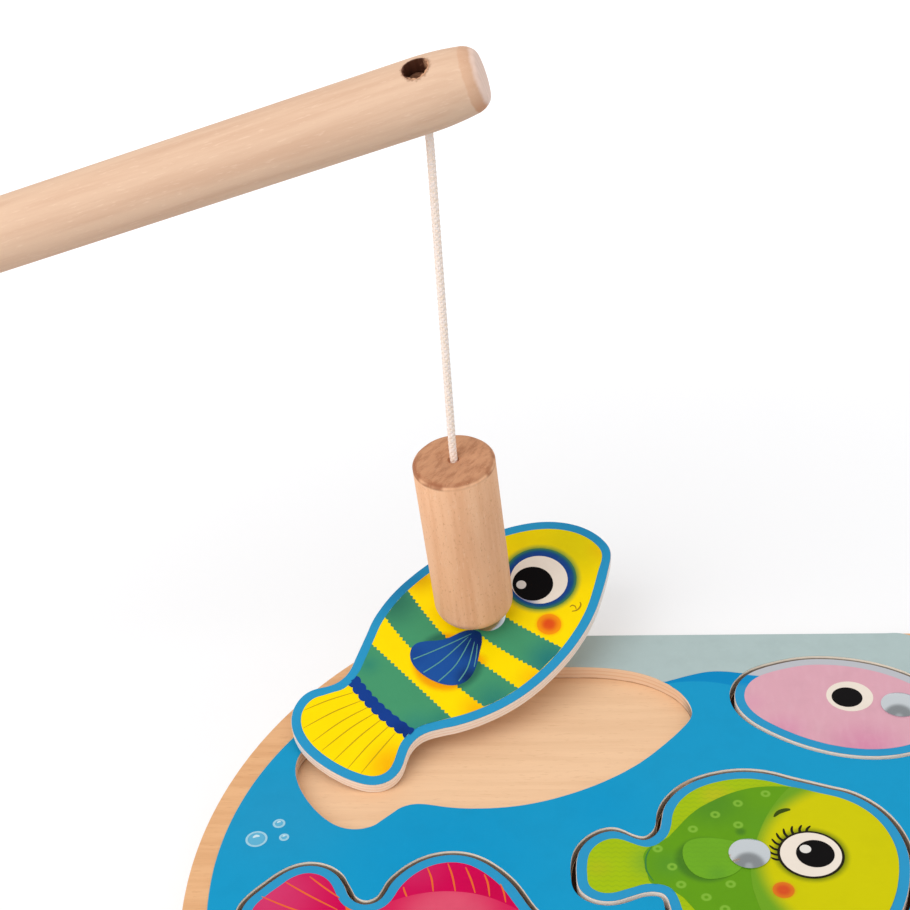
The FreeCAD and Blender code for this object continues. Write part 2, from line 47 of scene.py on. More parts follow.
# Camera: place and view directions in the row frame, focal length in pixels of the picture
CAMERA_PLACE = (-19.32, -295.24, 304.4)
CAMERA_FORWARD = (-0.0887, 0.8455, -0.5266)
CAMERA_RIGHT = (0.9959, 0.0661, -0.0616)
CAMERA_FOCAL = 1800.0
CAMERA_NEAREST = 0.01
PICTURE_SIDE = 910.0
SENSOR = 36.0

# Caught fish: the turn and the place of the point under its tack
CAUGHT_TURN = (19.2, -6.6, 24.3)
CAUGHT_PIVOT = (-40.5, 50.4, 3.7)
CAUGHT_PLACE = (-53.0, 77.0, 23.163)

# Magnet holder and rod, standing and held as in the model's source
HOLDER_TOP = (-58.187, 70.565, 75.407)
HOLDER_LEAN = (-2.4, -8.05)
HOLDER_LENGTH = 50.5
HOLDER_RADIUS = 10.1
HOLDER_FOOT_ROUND = 4.0
HOLDER_CHAMFER = 1.0
HOLDER_BORE = 1.35
HOLDER_CROWN = 10.0
HOLDER_CHAMBER = 4.1
EDGE_EASE = 0.12
EDGE_ROUND = 0.05
BORE_EASE = 0.2
ROD_EXIT = (-58.187, 70.565, 161.107)
ROD_HEADING = 0.3
ROD_RISE = 16.6
ROD_HOLE_TURN = 25.0
ROD_HOLE_LEAN = 10.5
ROD_RADIUS = 8.15
ROD_LENGTH = 200.0
ROD_CHAMFER = 2.6
ROD_EASE = 0.005
ROD_BUTT = 0.02
ROD_BODY_END = 180.0
ROD_NARROWS = 14.0
ROD_NARROWING = 130
# Rounded end of the tip: radius, and depth below the end face
ROD_TIP = [(7.02, 2.3), (6.72, 1.6), (6.2, 0.85), (5.65, 0.3), (5.2, 0.06), (4.7, 0), (0, 0)]
ROD_TIP_TO_HOLE = 15.3
ROD_CORD_BORE = 1.75
ROD_KNOT_BORE = 2.7
ROD_KNOT_DEPTH = 7.0

# Cord: the route that the model's source gives, with a point more near each end of the straight stretch
CORD_POINTS = [(-58.931, 66.581, 169.785), (-58.187, 70.565, 161.107), (-58.187, 70.565, 149.1),
               (-58.187, 70.565, 87.4), (-58.187, 70.565, 75.407), (-57.772, 71.964, 65.514)]

# Steel tacks: place of each seat in the fish's plan, and height of the seat over its underside
TACKS = {"striped_fish": ((-40.5, 50.4), 3.90), "green_fish": ((9.5, 7.3), 4.00),
         "magenta_fish": ((-52.0, -21.0), 3.90), "pink_fish": ((50.5, 59.5), 3.85)}
TACK_RADIUS = 4.7
TACK_DOME = 1.3
TACK_RIM = 0.25
TACK_EDGE = 0.08
TACK_PIN = 1.2
TACK_PIN_LENGTH = 2.6


def metres(point):
    return Vector(point) * MM


def caught_place():
    turn = Euler([math.radians(angle) for angle in CAUGHT_TURN], "XYZ").to_matrix().to_4x4()
    return Matrix.Translation(metres(CAUGHT_PLACE)) @ turn @ Matrix.Translation(-metres(CAUGHT_PIVOT))


SEATED = Matrix.Translation((0, 0, BASE_PLY * MM))
PLACES = {"striped_fish": caught_place(), "green_fish": SEATED, "magenta_fish": SEATED, "pink_fish": SEATED}


def add_object(name, data):
    made = bpy.data.objects.new(name, data)
    bpy.context.scene.collection.objects.link(made)
    return made


def evaluated_mesh(item):
    """Mesh of an object with its curve or its modifiers worked out."""
    bpy.context.view_layer.update()
    return bpy.data.meshes.new_from_object(item.evaluated_get(bpy.context.evaluated_depsgraph_get()))


def curve_mesh(curve):
    """Mesh of a curve, which is removed."""
    sketch = add_object(curve.name, curve)
    mesh = evaluated_mesh(sketch)
    bpy.data.objects.remove(sketch)
    bpy.data.curves.remove(curve)
    return mesh


def outward(mesh, merge=0.0):
    """Faces turned outward, after points nearer than the merge distance are joined."""
    tidy = bmesh.new()
    tidy.from_mesh(mesh)
    if merge:
        bmesh.ops.remove_doubles(tidy, verts=tidy.verts, dist=merge)
    bmesh.ops.recalc_face_normals(tidy, faces=tidy.faces)
    tidy.to_mesh(mesh)
    tidy.free()


def smooth(mesh, angle=35):
    """Smooth shading, with edges sharper than the angle kept."""
    mesh.shade_smooth()
    mesh.set_sharp_from_angle(angle=math.radians(angle))


def link(name, mesh, place=None):
    """New piece on the root body; its mesh keeps each point's own coordinates, in millimetres, as "plan"."""
    plan = mesh.attributes.new("plan", "FLOAT_VECTOR", "POINT")
    plan.data.foreach_set("vector", [value / MM for vert in mesh.vertices for value in vert.co])
    if place is not None:
        mesh.transform(place)
    piece = add_object(name, mesh)
    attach(piece, "root")
    return piece


# Smooth outlines from the frame's sawn ones

CORNER_TURN = math.radians(50)
LEAST_LOOP = 2.2 * MM
RIM_DEPTH = 2e-5
MERGE = 1e-6
STEEP_NORMAL = 0.5
LONG_RUN = 2.5
LEAST_RUN = 2 * MM
EASE = 1.2
MOST_EASE = 0.4
OUTLINE_STEPS = 5


def cap_loops(node, place):
    """Corner loops round the top of a flat node, in the plan of the place that it lies in."""
    mesh = bmesh.new()
    mesh.from_mesh(nodes[node].data)
    mesh.transform(place.inverted())
    bmesh.ops.remove_doubles(mesh, verts=mesh.verts, dist=MERGE)
    mesh.normal_update()
    top = max(vert.co.z for vert in mesh.verts)
    rim = {}
    for edge in mesh.edges:
        if min(vert.co.z for vert in edge.verts) < top - RIM_DEPTH:
            continue
        steep = [face for face in edge.link_faces if abs(face.normal.z) < STEEP_NORMAL]
        if len(steep) == 1:
            a, b = edge.verts
            rim.setdefault(a.index, []).append(b.index)
            rim.setdefault(b.index, []).append(a.index)
    mesh.verts.ensure_lookup_table()
    loops = []
    left = set(rim)
    while left:
        loop = []
        onward = [min(left)]
        while onward:
            loop.append(onward[0])
            left.discard(onward[0])
            onward = [index for index in rim[onward[0]] if index in left]
        corners = [mesh.verts[index].co.to_2d() for index in loop]
        width = max((corner - corners[0]).length for corner in corners)
        if width > LEAST_LOOP:
            loops.append(corners)
    mesh.free()
    return loops


def eased(loop):
    """The loop with points added on long straight stretches, near the ends that meet short edges."""
    line = []
    count = len(loop)
    for i, corner in enumerate(loop):
        after = loop[(i + 1) % count]
        run = (after - corner).length
        before = (corner - loop[i - 1]).length
        beyond = (loop[(i + 2) % count] - after).length
        line.append(corner)
        if run > LONG_RUN * before and run > LEAST_RUN:
            line.append(corner.lerp(after, min(MOST_EASE, EASE * before / run)))
        if run > LONG_RUN * beyond and run > LEAST_RUN:
            line.append(corner.lerp(after, 1 - min(MOST_EASE, EASE * beyond / run)))
    return line


def smooth_slab(name, loops, low, high, place, bevel=0.0, inset=0.0):
    """Plate with smooth outlines between two heights in the plan, its edges softened by the bevel."""
    curve = bpy.data.curves.new(name + "_line", "CURVE")
    curve.dimensions = "2D"
    curve.fill_mode = "BOTH"
    curve.resolution_u = OUTLINE_STEPS
    curve.extrude = ((high - low) / 2 - bevel) * MM
    curve.bevel_depth = bevel * MM
    curve.bevel_resolution = 1
    curve.offset = -(bevel + inset) * MM
    for loop in map(eased, loops):
        spline = curve.splines.new("BEZIER")
        spline.bezier_points.add(len(loop) - 1)
        spline.use_cyclic_u = True
        for i, corner in enumerate(loop):
            ahead = loop[(i + 1) % len(loop)] - corner
            sharp = abs((corner - loop[i - 1]).angle_signed(ahead, 0.0)) > CORNER_TURN
            point = spline.bezier_points[i]
            point.co = corner.to_3d()
            point.handle_left_type = point.handle_right_type = "VECTOR" if sharp else "AUTO"
    mesh = curve_mesh(curve)
    mesh.name = name
    mesh.transform(Matrix.Translation((0, 0, (low + high) / 2 * MM)))
    outward(mesh, 2 * MERGE)
    smooth(mesh, 40)
    piece = link(name, mesh, place)
    weighted = piece.modifiers.new("weighted", "WEIGHTED_NORMAL")
    weighted.keep_sharp = True
    return piece


def flat_node(node, place, low, high, bevel=0.0, inset=0.0):
    """Smooth plate in the place of a flat node."""
    piece = smooth_slab(node + "_plate", cap_loops(node, place), low, high, place, bevel, inset)
    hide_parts(node)
    return piece


# Materials. A colour is three numbers from 0 to 255, a linear one of four, or a socket.

# Sockets of the node that mixes two colours
MIX_FIRST, MIX_SECOND, MIX_RESULT = 6, 7, 2

BOARD_GRAIN = 0
TURNED_GRAIN = 2
SIDE_NORMAL = 0.62
MOTTLE = 0.12

# Walls inside the top board: within this distance from the board's middle and below this line of the plan
INNER_WALL = (106.0, 109.0)
INNER_TOP = (87.0, 87.8)
# Walls of the empty recess: left of the first, above the second and above a slanted line
RECESS_RIGHT = (-4.0, -1.0)
RECESS_FOOT = (14.0, 18.0)
RECESS_SLANT = 0.55
RECESS_LINE = (32.0, 35.0)
KERF_SHADE = (6.62, 6.9)


def tone(colour):
    """Linear colour for one written 0 to 255; any other stays as it is."""
    if not isinstance(colour, tuple) or len(colour) == 4:
        return colour
    linear = []
    for value in colour:
        share = value / 255
        linear.append(share / 12.92 if share <= 0.04045 else ((share + 0.055) / 1.055) ** 2.4)
    return (*linear, 1.0)


class Tree:
    """Node tree, with short calls for the nodes that it is built from."""

    def __init__(self, tree):
        self.tree = tree

    def node(self, kind, values=None, **settings):
        """New node; its values are numbers for its inputs, or sockets that are joined to them."""
        made = self.tree.nodes.new("ShaderNode" + kind)
        for key, value in settings.items():
            setattr(made, key, value)
        for key, value in (values or {}).items():
            self.join(value, made.inputs[key])
        return made

    def join(self, value, socket):
        if isinstance(value, bpy.types.NodeSocket):
            self.tree.links.new(value, socket)
        else:
            socket.default_value = value

    def math(self, operation, *values):
        return self.node("Math", dict(enumerate(values)), operation=operation).outputs[0]

    def plus(self, a, b):
        return self.math("ADD", a, b)

    def minus(self, a, b):
        return self.math("SUBTRACT", a, b)

    def times(self, a, b):
        return self.math("MULTIPLY", a, b)

    def most(self, a, b):
        return self.math("MAXIMUM", a, b)

    def gap(self, a, b):
        return self.math("ABSOLUTE", self.minus(a, b))

    def ramp(self, value, low, high, top=1.0, bottom=0.0):
        """The bottom number below the low value, the top one above the high value."""
        values = {"Value": value, "From Min": low, "From Max": high, "To Min": bottom, "To Max": top}
        return self.node("MapRange", values, interpolation_type="SMOOTHSTEP").outputs[0]

    def falling(self, value, low, high, top=1.0):
        """The top number below the low value, 0 above the high value."""
        return self.ramp(value, low, high, 0.0, top)

    def split(self, vector):
        return self.node("SeparateXYZ", {0: vector}).outputs

    def mix(self, share, first, second):
        values = {"Factor": share, MIX_FIRST: tone(first), MIX_SECOND: tone(second)}
        return self.node("Mix", values, data_type="RGBA").outputs[MIX_RESULT]


class Paint(Tree):
    """Node tree of one material; its patterns lie in the piece's own coordinates, in millimetres."""

    def __init__(self, name, colour, roughness=0.5, on_node=False, **inputs):
        self.material = bpy.data.materials.new(name)
        self.material.use_nodes = True
        self.material.diffuse_color = tone(colour)
        super().__init__(self.material.node_tree)
        self.shader = self.tree.nodes["Principled BSDF"]
        self.shader.inputs["Base Color"].default_value = tone(colour)
        self.shader.inputs["Roughness"].default_value = roughness
        for key, value in inputs.items():
            self.shader.inputs[key.replace("_", " ")].default_value = value
        self.laid = tone(colour)
        if on_node:
            values = {0: self.node("TexCoord").outputs["Object"], "Scale": 1 / MM}
            self.place = self.node("VectorMath", values, operation="SCALE").outputs[0]
        else:
            self.place = self.node("Attribute", attribute_name="plan").outputs["Vector"]
        self.x, self.y, self.z = self.split(self.place)

    def mapped(self, scale, turn=None):
        """Places times the scale; with a turn about z, in degrees, they are turned and divided by it."""
        values = {"Vector": self.place, "Scale": scale, "Rotation": (0, 0, math.radians(turn or 0))}
        return self.node("Mapping", values, vector_type="POINT" if turn is None else "TEXTURE").outputs[0]

    def noise(self, scale, detail=3.0, roughness=0.55, vector=None):
        values = {"Vector": vector or self.place, "Scale": scale, "Detail": detail, "Roughness": roughness}
        return self.node("TexNoise", values).outputs["Fac"]

    def length(self, across, along):
        return self.math("SQRT", self.plus(self.math("POWER", across, 2.0), self.math("POWER", along, 2.0)))

    def distance(self, x, y):
        """Distance in the plan from a place."""
        return self.length(self.minus(self.x, x), self.minus(self.y, y))

    def spot(self, x, y, radius, soft):
        """1 inside a disc, 0 outside it."""
        return self.falling(self.distance(x, y), radius - soft, radius + soft)

    def colour(self, value):
        self.laid = value
        self.join(value, self.shader.inputs["Base Color"])

    def lay(self, share, colour):
        """The colour laid over what is there, as far as the share says."""
        self.colour(self.mix(share, self.laid, colour))

    def bump(self, height, strength, depth):
        made = self.node("Bump", {"Strength": strength, "Distance": depth * MM, "Height": height})
        self.join(made.outputs["Normal"], self.shader.inputs["Normal"])


def dress(piece, paint):
    piece.data.materials.clear()
    piece.data.materials.append(paint.material)


def dress_node(node, paint):
    """A CAD node keeps its shape and takes the material."""
    for slot in nodes[node].material_slots:
        slot.material = paint.material


def ink(name, base, shades=(), mottle=MOTTLE, roughness=0.4):
    """Printed ink with soft patches: x, y, radius, softness, colour and strength of each."""
    paint = Paint(name, base, roughness, Specular_IOR_Level=0.05)
    for x, y, radius, soft, shade, strength in shades:
        paint.lay(paint.times(paint.spot(x, y, radius, soft), strength), shade)
    linear = tone(base)[:3]
    dark = (*(channel * 0.72 for channel in linear), 1.0)
    light = (*(min(channel * 1.15 + 0.003, 1.0) for channel in linear), 1.0)
    paint.lay(paint.ramp(paint.noise(0.16), 0.4, 0.75, mottle), dark)
    paint.lay(paint.ramp(paint.noise(0.55), 0.5, 0.8, mottle), light)
    paint.bump(paint.noise(0.9, 2.0), 0.03, 0.05)
    return paint


def wood(name, light, dark, fleck, along):
    """Close-grained wood: streaks and short flecks that run along one axis."""
    paint = Paint(name, light, 0.62, Specular_IOR_Level=0.25)
    streak = [1.0, 1.0, 1.0]
    streak[along] = 0.06
    short = [2.6, 2.6, 2.6]
    short[along] = 0.42
    fine = paint.noise(0.9, 3.0, 0.5, paint.mapped(short))
    paint.lay(paint.ramp(paint.noise(0.35, 5.0, 0.6, paint.mapped(streak)), 0.35, 0.68, 0.85), dark)
    paint.lay(paint.ramp(fine, 0.58, 0.72, 0.5), fleck)
    paint.bump(fine, 0.12, 0.12)
    return paint


def inner_walls(paint, side, warm):
    """The sides inside the top board: warm ones round the empty recess, and dark brown low in the kerfs, which is
    painted shade with char.
    """
    inner = paint.times(paint.falling(paint.distance(0.0, 0.0), *INNER_WALL), paint.falling(paint.y, *INNER_TOP))
    recess = paint.times(paint.falling(paint.x, *RECESS_RIGHT), paint.ramp(paint.y, *RECESS_FOOT))
    slant = paint.minus(paint.y, paint.times(paint.x, RECESS_SLANT))
    recess = paint.times(paint.times(recess, inner), paint.ramp(slant, *RECESS_LINE))
    side = paint.mix(paint.times(recess, 0.65), side, warm)
    # Painted shade with char: dark brown low on the kerf walls.
    kerf_shade_and_char = paint.times(paint.minus(inner, recess), paint.falling(paint.z, *KERF_SHADE, 0.75))
    return paint.mix(kerf_shade_and_char, side, (84, 60, 42))


def ply(name, light, dark, fleck, lines, side=(255, 244, 228), warm=None):
    """Plywood: a face with grain along the board, and veneers with dark glue lines on the sides."""
    paint = wood(name, light, dark, fleck, BOARD_GRAIN)
    wander = paint.times(paint.noise(0.25, 2.0, vector=paint.mapped((1, 1, 0.2))), 0.5)
    level = paint.plus(paint.z, paint.minus(wander, 0.25))
    for middle, half, colour in lines:
        side = paint.mix(paint.falling(paint.gap(level, middle), half * 0.6, half), side, colour)
    if warm:
        side = inner_walls(paint, side, warm)
    normal = paint.split(paint.node("NewGeometry").outputs["Normal"])
    paint.lay(paint.math("LESS_THAN", paint.math("ABSOLUTE", normal[2]), SIDE_NORMAL), side)
    return paint


# Printed colours

BLUE = (44, 150, 198)
YELLOW = (255, 222, 0)
ORANGE = (246, 160, 6)
EYE_WHITE = (238, 226, 212)
BLACK = (12, 9, 10)
BORDER = ("border_blue", BLUE, [])
EYE = ("eye_white", EYE_WHITE, [])
PUPIL = ("pupil_black", BLACK, [])
# Prints of each fish: colour slot, colour and patches
PRINTS = {
    "striped_fish": {
        "border": ("border_blue", BLUE, [
            # The first border patch is painted shade: the border is darker beside the holder.
            (-56, 68, 9, 8, (32, 118, 166), 0.8), (-6, 64, 9, 8, (36, 128, 174), 0.6)]),
        "body": ("stripe_yellow", YELLOW, [
            (-79, 20, 4.5, 5, ORANGE, 0.8), (-54, 26, 3, 4, ORANGE, 0.7), (-37, 28, 3, 4, ORANGE, 0.6),
            (-52, 70, 4, 5, (206, 136, 4), 0.9), (-10, 62, 10, 8, (216, 198, 8), 0.85),
            (-24, 72, 6, 6, (224, 202, 6), 0.6), (-5, 57, 2, 4, (230, 170, 10), 0.5),
            (-55.6, 42.2, 8.4, 1.1, (240, 140, 8), 0.8), (-48, 38.8, 2, 1.4, (240, 140, 6), 0.6),
            (-23.3, 55.5, 10.4, 0.9, (110, 146, 60), 0.85), (-27, 41.6, 3.3, 0.9, (252, 160, 6), 0.8)]),
        "bands": ("stripe_green", (70, 150, 108), [
            (-48.6, 68.2, 3.4, 0.3, (234, 188, 4), 1),
            (-61, 65, 5.5, 6, (42, 104, 88), 0.85), (-70, 26, 4, 5, (38, 128, 126), 0.7),
            (-74, 49.5, 1.5, 3.5, (38, 128, 116), 0.75), (-62.9, 26.6, 2.5, 3.5, (36, 124, 112), 0.7),
            (-49, 26, 4, 5, (36, 122, 116), 0.8), (-31, 31, 5, 5, (32, 118, 120), 0.9),
            (-54.8, 42, 8.7, 1.1, (22, 66, 66), 0.6), (-23.3, 55.5, 10.6, 1.4, (12, 66, 84), 0.8)]),
        "tail_band": ("fin_blue", (22, 62, 142), [(-73, 28, 2, 3, (12, 36, 100), 0.6)]),
        "side_fin": ("fin_blue", (30, 82, 158), [
            (-46, 44, 4, 5, (14, 28, 82), 0.9), (-52, 35.5, 2.5, 2.5, (14, 24, 62), 0.8),
            (-62, 47.5, 2, 3, (24, 62, 140), 0.6)]),
        "cheek": ("cheek_red", (250, 150, 14), [(-27, 41.6, 1.9, 1.1, (226, 80, 26), 1)]),
        "eye_ring": ("eye_shadow_blue", (66, 122, 76), [
            (-23.3, 55.5, 9.1, 0.6, (22, 88, 122), 1), (-23.3, 55.5, 8.6, 0.7, (26, 62, 142), 0.9)]),
        "eye": ("eye_white", EYE_WHITE, [(-31, 49.6, 3.4, 2.4, (84, 108, 172), 0.85)]),
        "pupil": PUPIL,
        "eye_glint": ("eye_white", (214, 208, 202), [])},
    "green_fish": {
        "border": BORDER,
        "fins": ("lime", (164, 192, 14), [
            (-12, 5, 4, 4, (116, 168, 46), 0.9), (3, 27, 3, 3, (196, 186, 34), 0.6),
            (-25, 3, 2, 3, (184, 186, 26), 0.6)]),
        "body": ("leaf_green", (98, 156, 22), [
            (2, 24, 6, 5, (74, 134, 38), 0.6), (-9, 4, 3, 4, (78, 142, 48), 0.5),
            (12, 18, 4, 4, (92, 152, 34), 0.5), (-0.4, 5.6, 6.9, 1, (56, 106, 34), 0.65),
            (8, 14.6, 1.1, 0.7, (70, 124, 34), 0.8)]),
        "face": ("face_yellow", (206, 200, 0), [
            (23.3, 7.2, 8.3, 1, (88, 110, 16), 0.8), (16.2, -3.8, 2.6, 0.8, (226, 150, 26), 0.8)]),
        "side_fin": ("leaf_green", (110, 170, 36), [(2, 1, 2, 2, (92, 152, 44), 0.5)]),
        "cheek": ("cheek_red", (222, 120, 30), [(16.2, -3.8, 1.6, 0.8, (214, 78, 36), 1)]),
        "eye_ring": ("pupil_black", (34, 30, 16), []),
        "eye": EYE,
        "pupil": PUPIL,
        "eye_glint": ("eye_white", (226, 222, 216), [])},
    "magenta_fish": {
        "border": BORDER,
        "fins": ("magenta", (208, 0, 80), [
            (-100, -6, 10, 9, (212, 66, 116), 0.7), (-66, 2, 4, 6, (206, 50, 104), 0.6),
            (-48, -4, 5, 5, (196, 0, 66), 0.6)]),
        "body": ("rose", (214, 36, 88), [(-58, -12, 9, 5, (226, 92, 118), 0.8)]),
        "tail_band": ("fin_orange", (236, 112, 34), []),
        "eye": EYE,
        "pupil": PUPIL},
    "pink_fish": {
        "border": BORDER,
        "body": ("pale_pink", (220, 166, 180), [
            (21, 50, 4, 5, (212, 130, 168), 0.6), (14, 61, 2, 4, (218, 150, 178), 0.5),
            (40, 42, 8, 7, (210, 126, 164), 0.7)]),
        "side_fin": ("rose", (208, 118, 150), [(61, 60, 2, 3, (220, 150, 175), 0.5)]),
        "eye": EYE,
        "pupil": PUPIL}}

# Small rings on the green fish's back
GREEN_RINGS = [(14.7, 27.3), (8, 24), (2.5, 20.2), (-2.9, 15.4), (7.6, 16.8), (-11.2, 9), (-8.1, 3.3),
               (-6.3, -2.2), (4.7, -2), (-0.9, -6), (3, -9.5), (8, -14), (14, -18.5)]
RING_RADIUS = 0.8


def fish_ink(fish, kind):
    """Ink of one print, with the pattern that only it has."""
    paint = ink("%s_%s_print_ink" % (fish, kind), *PRINTS[fish][kind][1:])
    which = (fish, kind)
    if which == ("pink_fish", "border"):
        above = paint.plus(paint.y, paint.times(paint.x, 0.19))
        paint.lay(paint.ramp(above, 69.0, 71.5), (8, 140, 200))
        paint.lay(paint.ramp(above, 74.3, 74.7), (188, 190, 196))
    elif which == ("green_fish", "body"):
        rings = 0.0
        for x, y in GREEN_RINGS:
            gap = paint.gap(paint.distance(x, y), RING_RADIUS)
            rings = paint.most(rings, paint.falling(gap, 0.15, 0.55, 0.75))
        paint.lay(rings, (136, 188, 62))
    elif which == ("green_fish", "face"):
        paint.lay(paint.ramp(paint.distance(38.0, 5.0), 23.5, 28.6), (110, 162, 34))
    elif which in (("green_fish", "fins"), ("green_fish", "side_fin")):
        wave = paint.math("SINE", paint.times(paint.x, 3.4))
        ribs = paint.math("SINE", paint.plus(paint.times(paint.y, 4.2), wave))
        paint.lay(paint.ramp(ribs, 0.2, 1.0, 0.15), (92, 146, 36))
    elif which == ("pink_fish", "body"):
        scales = paint.noise(0.5, 2.0, vector=paint.mapped((1.0, 0.25, 1.0)))
        paint.lay(paint.ramp(scales, 0.45, 0.7, 0.15), (228, 182, 196))
    return paint


# Lines drawn on the prints, each with its widths at the start, in the middle and at the end

PATH_STEPS = 6


def smooth_path(points):
    """Points along a smooth line through the given ones."""
    line = []
    for i in range(len(points) - 1):
        a = Vector(points[max(i - 1, 0)])
        b = Vector(points[i])
        c = Vector(points[i + 1])
        d = Vector(points[min(i + 2, len(points) - 1)])
        for k in range(PATH_STEPS):
            t = k / PATH_STEPS
            line.append(0.5 * (2 * b + (c - a) * t + (2 * a - 5 * b + 4 * c - d) * t * t
                               + (3 * b - a - 3 * c + d) * t ** 3))
    line.append(Vector(points[-1]))
    return line


def direction(line, i):
    return (line[min(i + 1, len(line) - 1)] - line[max(i - 1, 0)]).normalized()


def tube_faces(start, rows, sides):
    """Faces of a closed tube, whose points lie row by row from a place in the list on."""
    faces = []
    last = start + (rows - 1) * sides
    for a in range(start, last, sides):
        for k in range(sides):
            n = (k + 1) % sides
            faces.append((a + k, a + n, a + sides + n, a + sides + k))
    return faces + [tuple(range(start + sides - 1, start - 1, -1)), tuple(range(last, last + sides))]


def ribbons(name, strokes, low, place, paint, thickness=0.02):
    """Thin closed strips along smooth lines."""
    verts = []
    faces = []
    for points, first, middle, last in strokes:
        line = smooth_path(points)
        count = len(line)
        start = len(verts)
        for i, point in enumerate(line):
            ahead = direction(line, i)
            side = Vector((-ahead.y, ahead.x))
            share = i / (count - 1)
            ends = first + (last - first) * share
            half = (ends + (middle - ends) * 4 * share * (1 - share)) / 2
            for sign, height in ((1, low), (-1, low), (-1, low + thickness), (1, low + thickness)):
                place_2d = point + side * half * sign
                verts.append(Vector((place_2d.x, place_2d.y, height)) * MM)
        faces += tube_faces(start, count, 4)
    mesh = bpy.data.meshes.new(name)
    mesh.from_pydata(verts, [], faces)
    outward(mesh)
    piece = link(name, mesh, place)
    dress(piece, paint)


def rays(widths, *lines):
    """Strokes of the same widths along several lines."""
    return [(line, *widths) for line in lines]


TAIL_RAYS = rays(
    (0.1, 0.32, 0.15),
    [(-93.5, 43.7), (-87, 43.9), (-80.3, 43.4)],
    [(-95.3, 39), (-87, 40.2), (-79.2, 40.4)],
    [(-94.6, 34.4), (-86, 36.9), (-78, 38)],
    [(-93.3, 31.2), (-84.5, 34.2), (-77.3, 35.7)],
    [(-91.7, 27.3), (-83.5, 31), (-76.4, 33.4)],
    [(-89.3, 23.9), (-82, 28), (-75.4, 30.9)],
    [(-86.7, 21.4), (-80, 25.4), (-74.9, 28.3)])
TAIL_BAND_FILL = rays((1.5, 1.5, 1.5), [(-78.9, 47), (-77.7, 42.4), (-75.8, 36.9), (-73.4, 31.4), (-71, 26.7)])
FIN_RAYS = [
    ([(-62.9, 46.2), (-56, 46.4), (-46.4, 47.1)], 0.36, 0.3, 0.1),
    ([(-62, 41.5), (-56, 43), (-47.5, 46.6)], 0.36, 0.3, 0.1),
    ([(-59.6, 37.5), (-53.5, 40.3), (-47, 45.9)], 0.34, 0.3, 0.1),
    ([(-54.8, 35.5), (-51, 38.5), (-46.6, 44.6)], 0.34, 0.3, 0.1),
    ([(-49.6, 37.8), (-48, 40.3), (-46.2, 43.6)], 0.24, 0.22, 0.1)]
MOUTH = [
    ([(-20, 42.8), (-18.9, 42.55), (-17.8, 42.9), (-17, 43.7), (-16.9, 44.5)], 0.2, 0.42, 0.25),
    ([(-19.9, 44.2), (-19.1, 44.4), (-18.6, 43.8), (-18.7, 42.9)], 0.2, 0.35, 0.15)]
BROW = [([(16, 19.4), (17.2, 20.9), (18.8, 21.7), (20, 21.9)], 0.25, 1.25, 0.45)]
GREEN_TAIL_LINE = [([(-12.6, 9.6), (-13.9, 6.4), (-13.9, 2.2), (-12.4, -1.2)], 0.15, 0.4, 0.15)]
MAGENTA_LINES = rays(
    (0.2, 0.45, 0.2),
    [(-68.8, -3.2), (-68.4, -4.6), (-67.6, -6.6)],
    [(-63.85, 2.9), (-62.6, -0.6), (-61.9, -4.6)],
    [(-59.2, 4.2), (-57.9, 0.2), (-56.9, -4.5)],
    [(-55.05, 3), (-53.6, -0.8), (-52.4, -5)],
    [(-50.65, 0.8), (-49.7, -2), (-49.1, -6)],
    [(-96.1, -1.8), (-90, -6), (-83, -10.3)],
    [(-100.8, -6.4), (-93, -10.2), (-83.5, -13.4)],
    [(-102.4, -12.6), (-93, -14.9), (-83.5, -16.2)],
    [(-100.4, -19.6), (-92, -19.6), (-83.5, -18.9)],
    [(-95.4, -25.4), (-89.5, -23.6), (-83.5, -21.6)])
MAGENTA_LINES += rays((0.2, 0.42, 0.2), [(-90.7, -0.1), (-87, -3.4), (-83, -6.7)])
MAGENTA_LINES += rays(
    (0.2, 0.4, 0.2),
    [(-46.85, -2.2), (-46, -4.6), (-45.4, -7.8)],
    [(-67, -33), (-66, -31.4), (-65.4, -30)],
    [(-57, -38), (-56.4, -36.4), (-56, -35)],
    [(-47, -39.4), (-46.8, -38), (-46.6, -36.6)])

# Lashes of the green fish: direction at the root in degrees, and reach from the middle of the eye
EYE_MIDDLE = (23.3, 7.2)
EYE_RADIUS = 7.2
LASHES = [(92, 9.3), (104, 9.6), (117, 9.8), (130, 10), (143, 10), (156, 9.8), (169, 9.6), (181, 9.4),
          (193, 9.1)]
LASH_BEND = 7
LASH_WIDTHS = (1.0, 0.6, 0.12)


def lashes():
    lines = []
    for turn, reach in LASHES:
        line = []
        for share in (0.0, 0.5, 1.0):
            angle = math.radians(turn - LASH_BEND * share * share)
            radius = EYE_RADIUS + (reach - EYE_RADIUS) * share
            line.append((EYE_MIDDLE[0] + radius * math.cos(angle), EYE_MIDDLE[1] + radius * math.sin(angle)))
        lines.append(line)
    return rays(LASH_WIDTHS, *lines)


# Wavy edges of the green bands

WAVE_STEP = 0.34
WAVE_LENGTH = 1.35
WAVE_HEIGHT = 0.28
WAVE_CHANGE = (0.25, 0.9)
STILL_STEP = 0.5
STILL_GAP = 0.9


def dense(loop, gap):
    """The loop with points added, so that they lie about the gap apart."""
    line = []
    for i, corner in enumerate(loop):
        after = loop[(i + 1) % len(loop)]
        steps = max(1, round((after - corner).length / MM / gap))
        line += [corner.lerp(after, k / steps) for k in range(steps)]
    return line


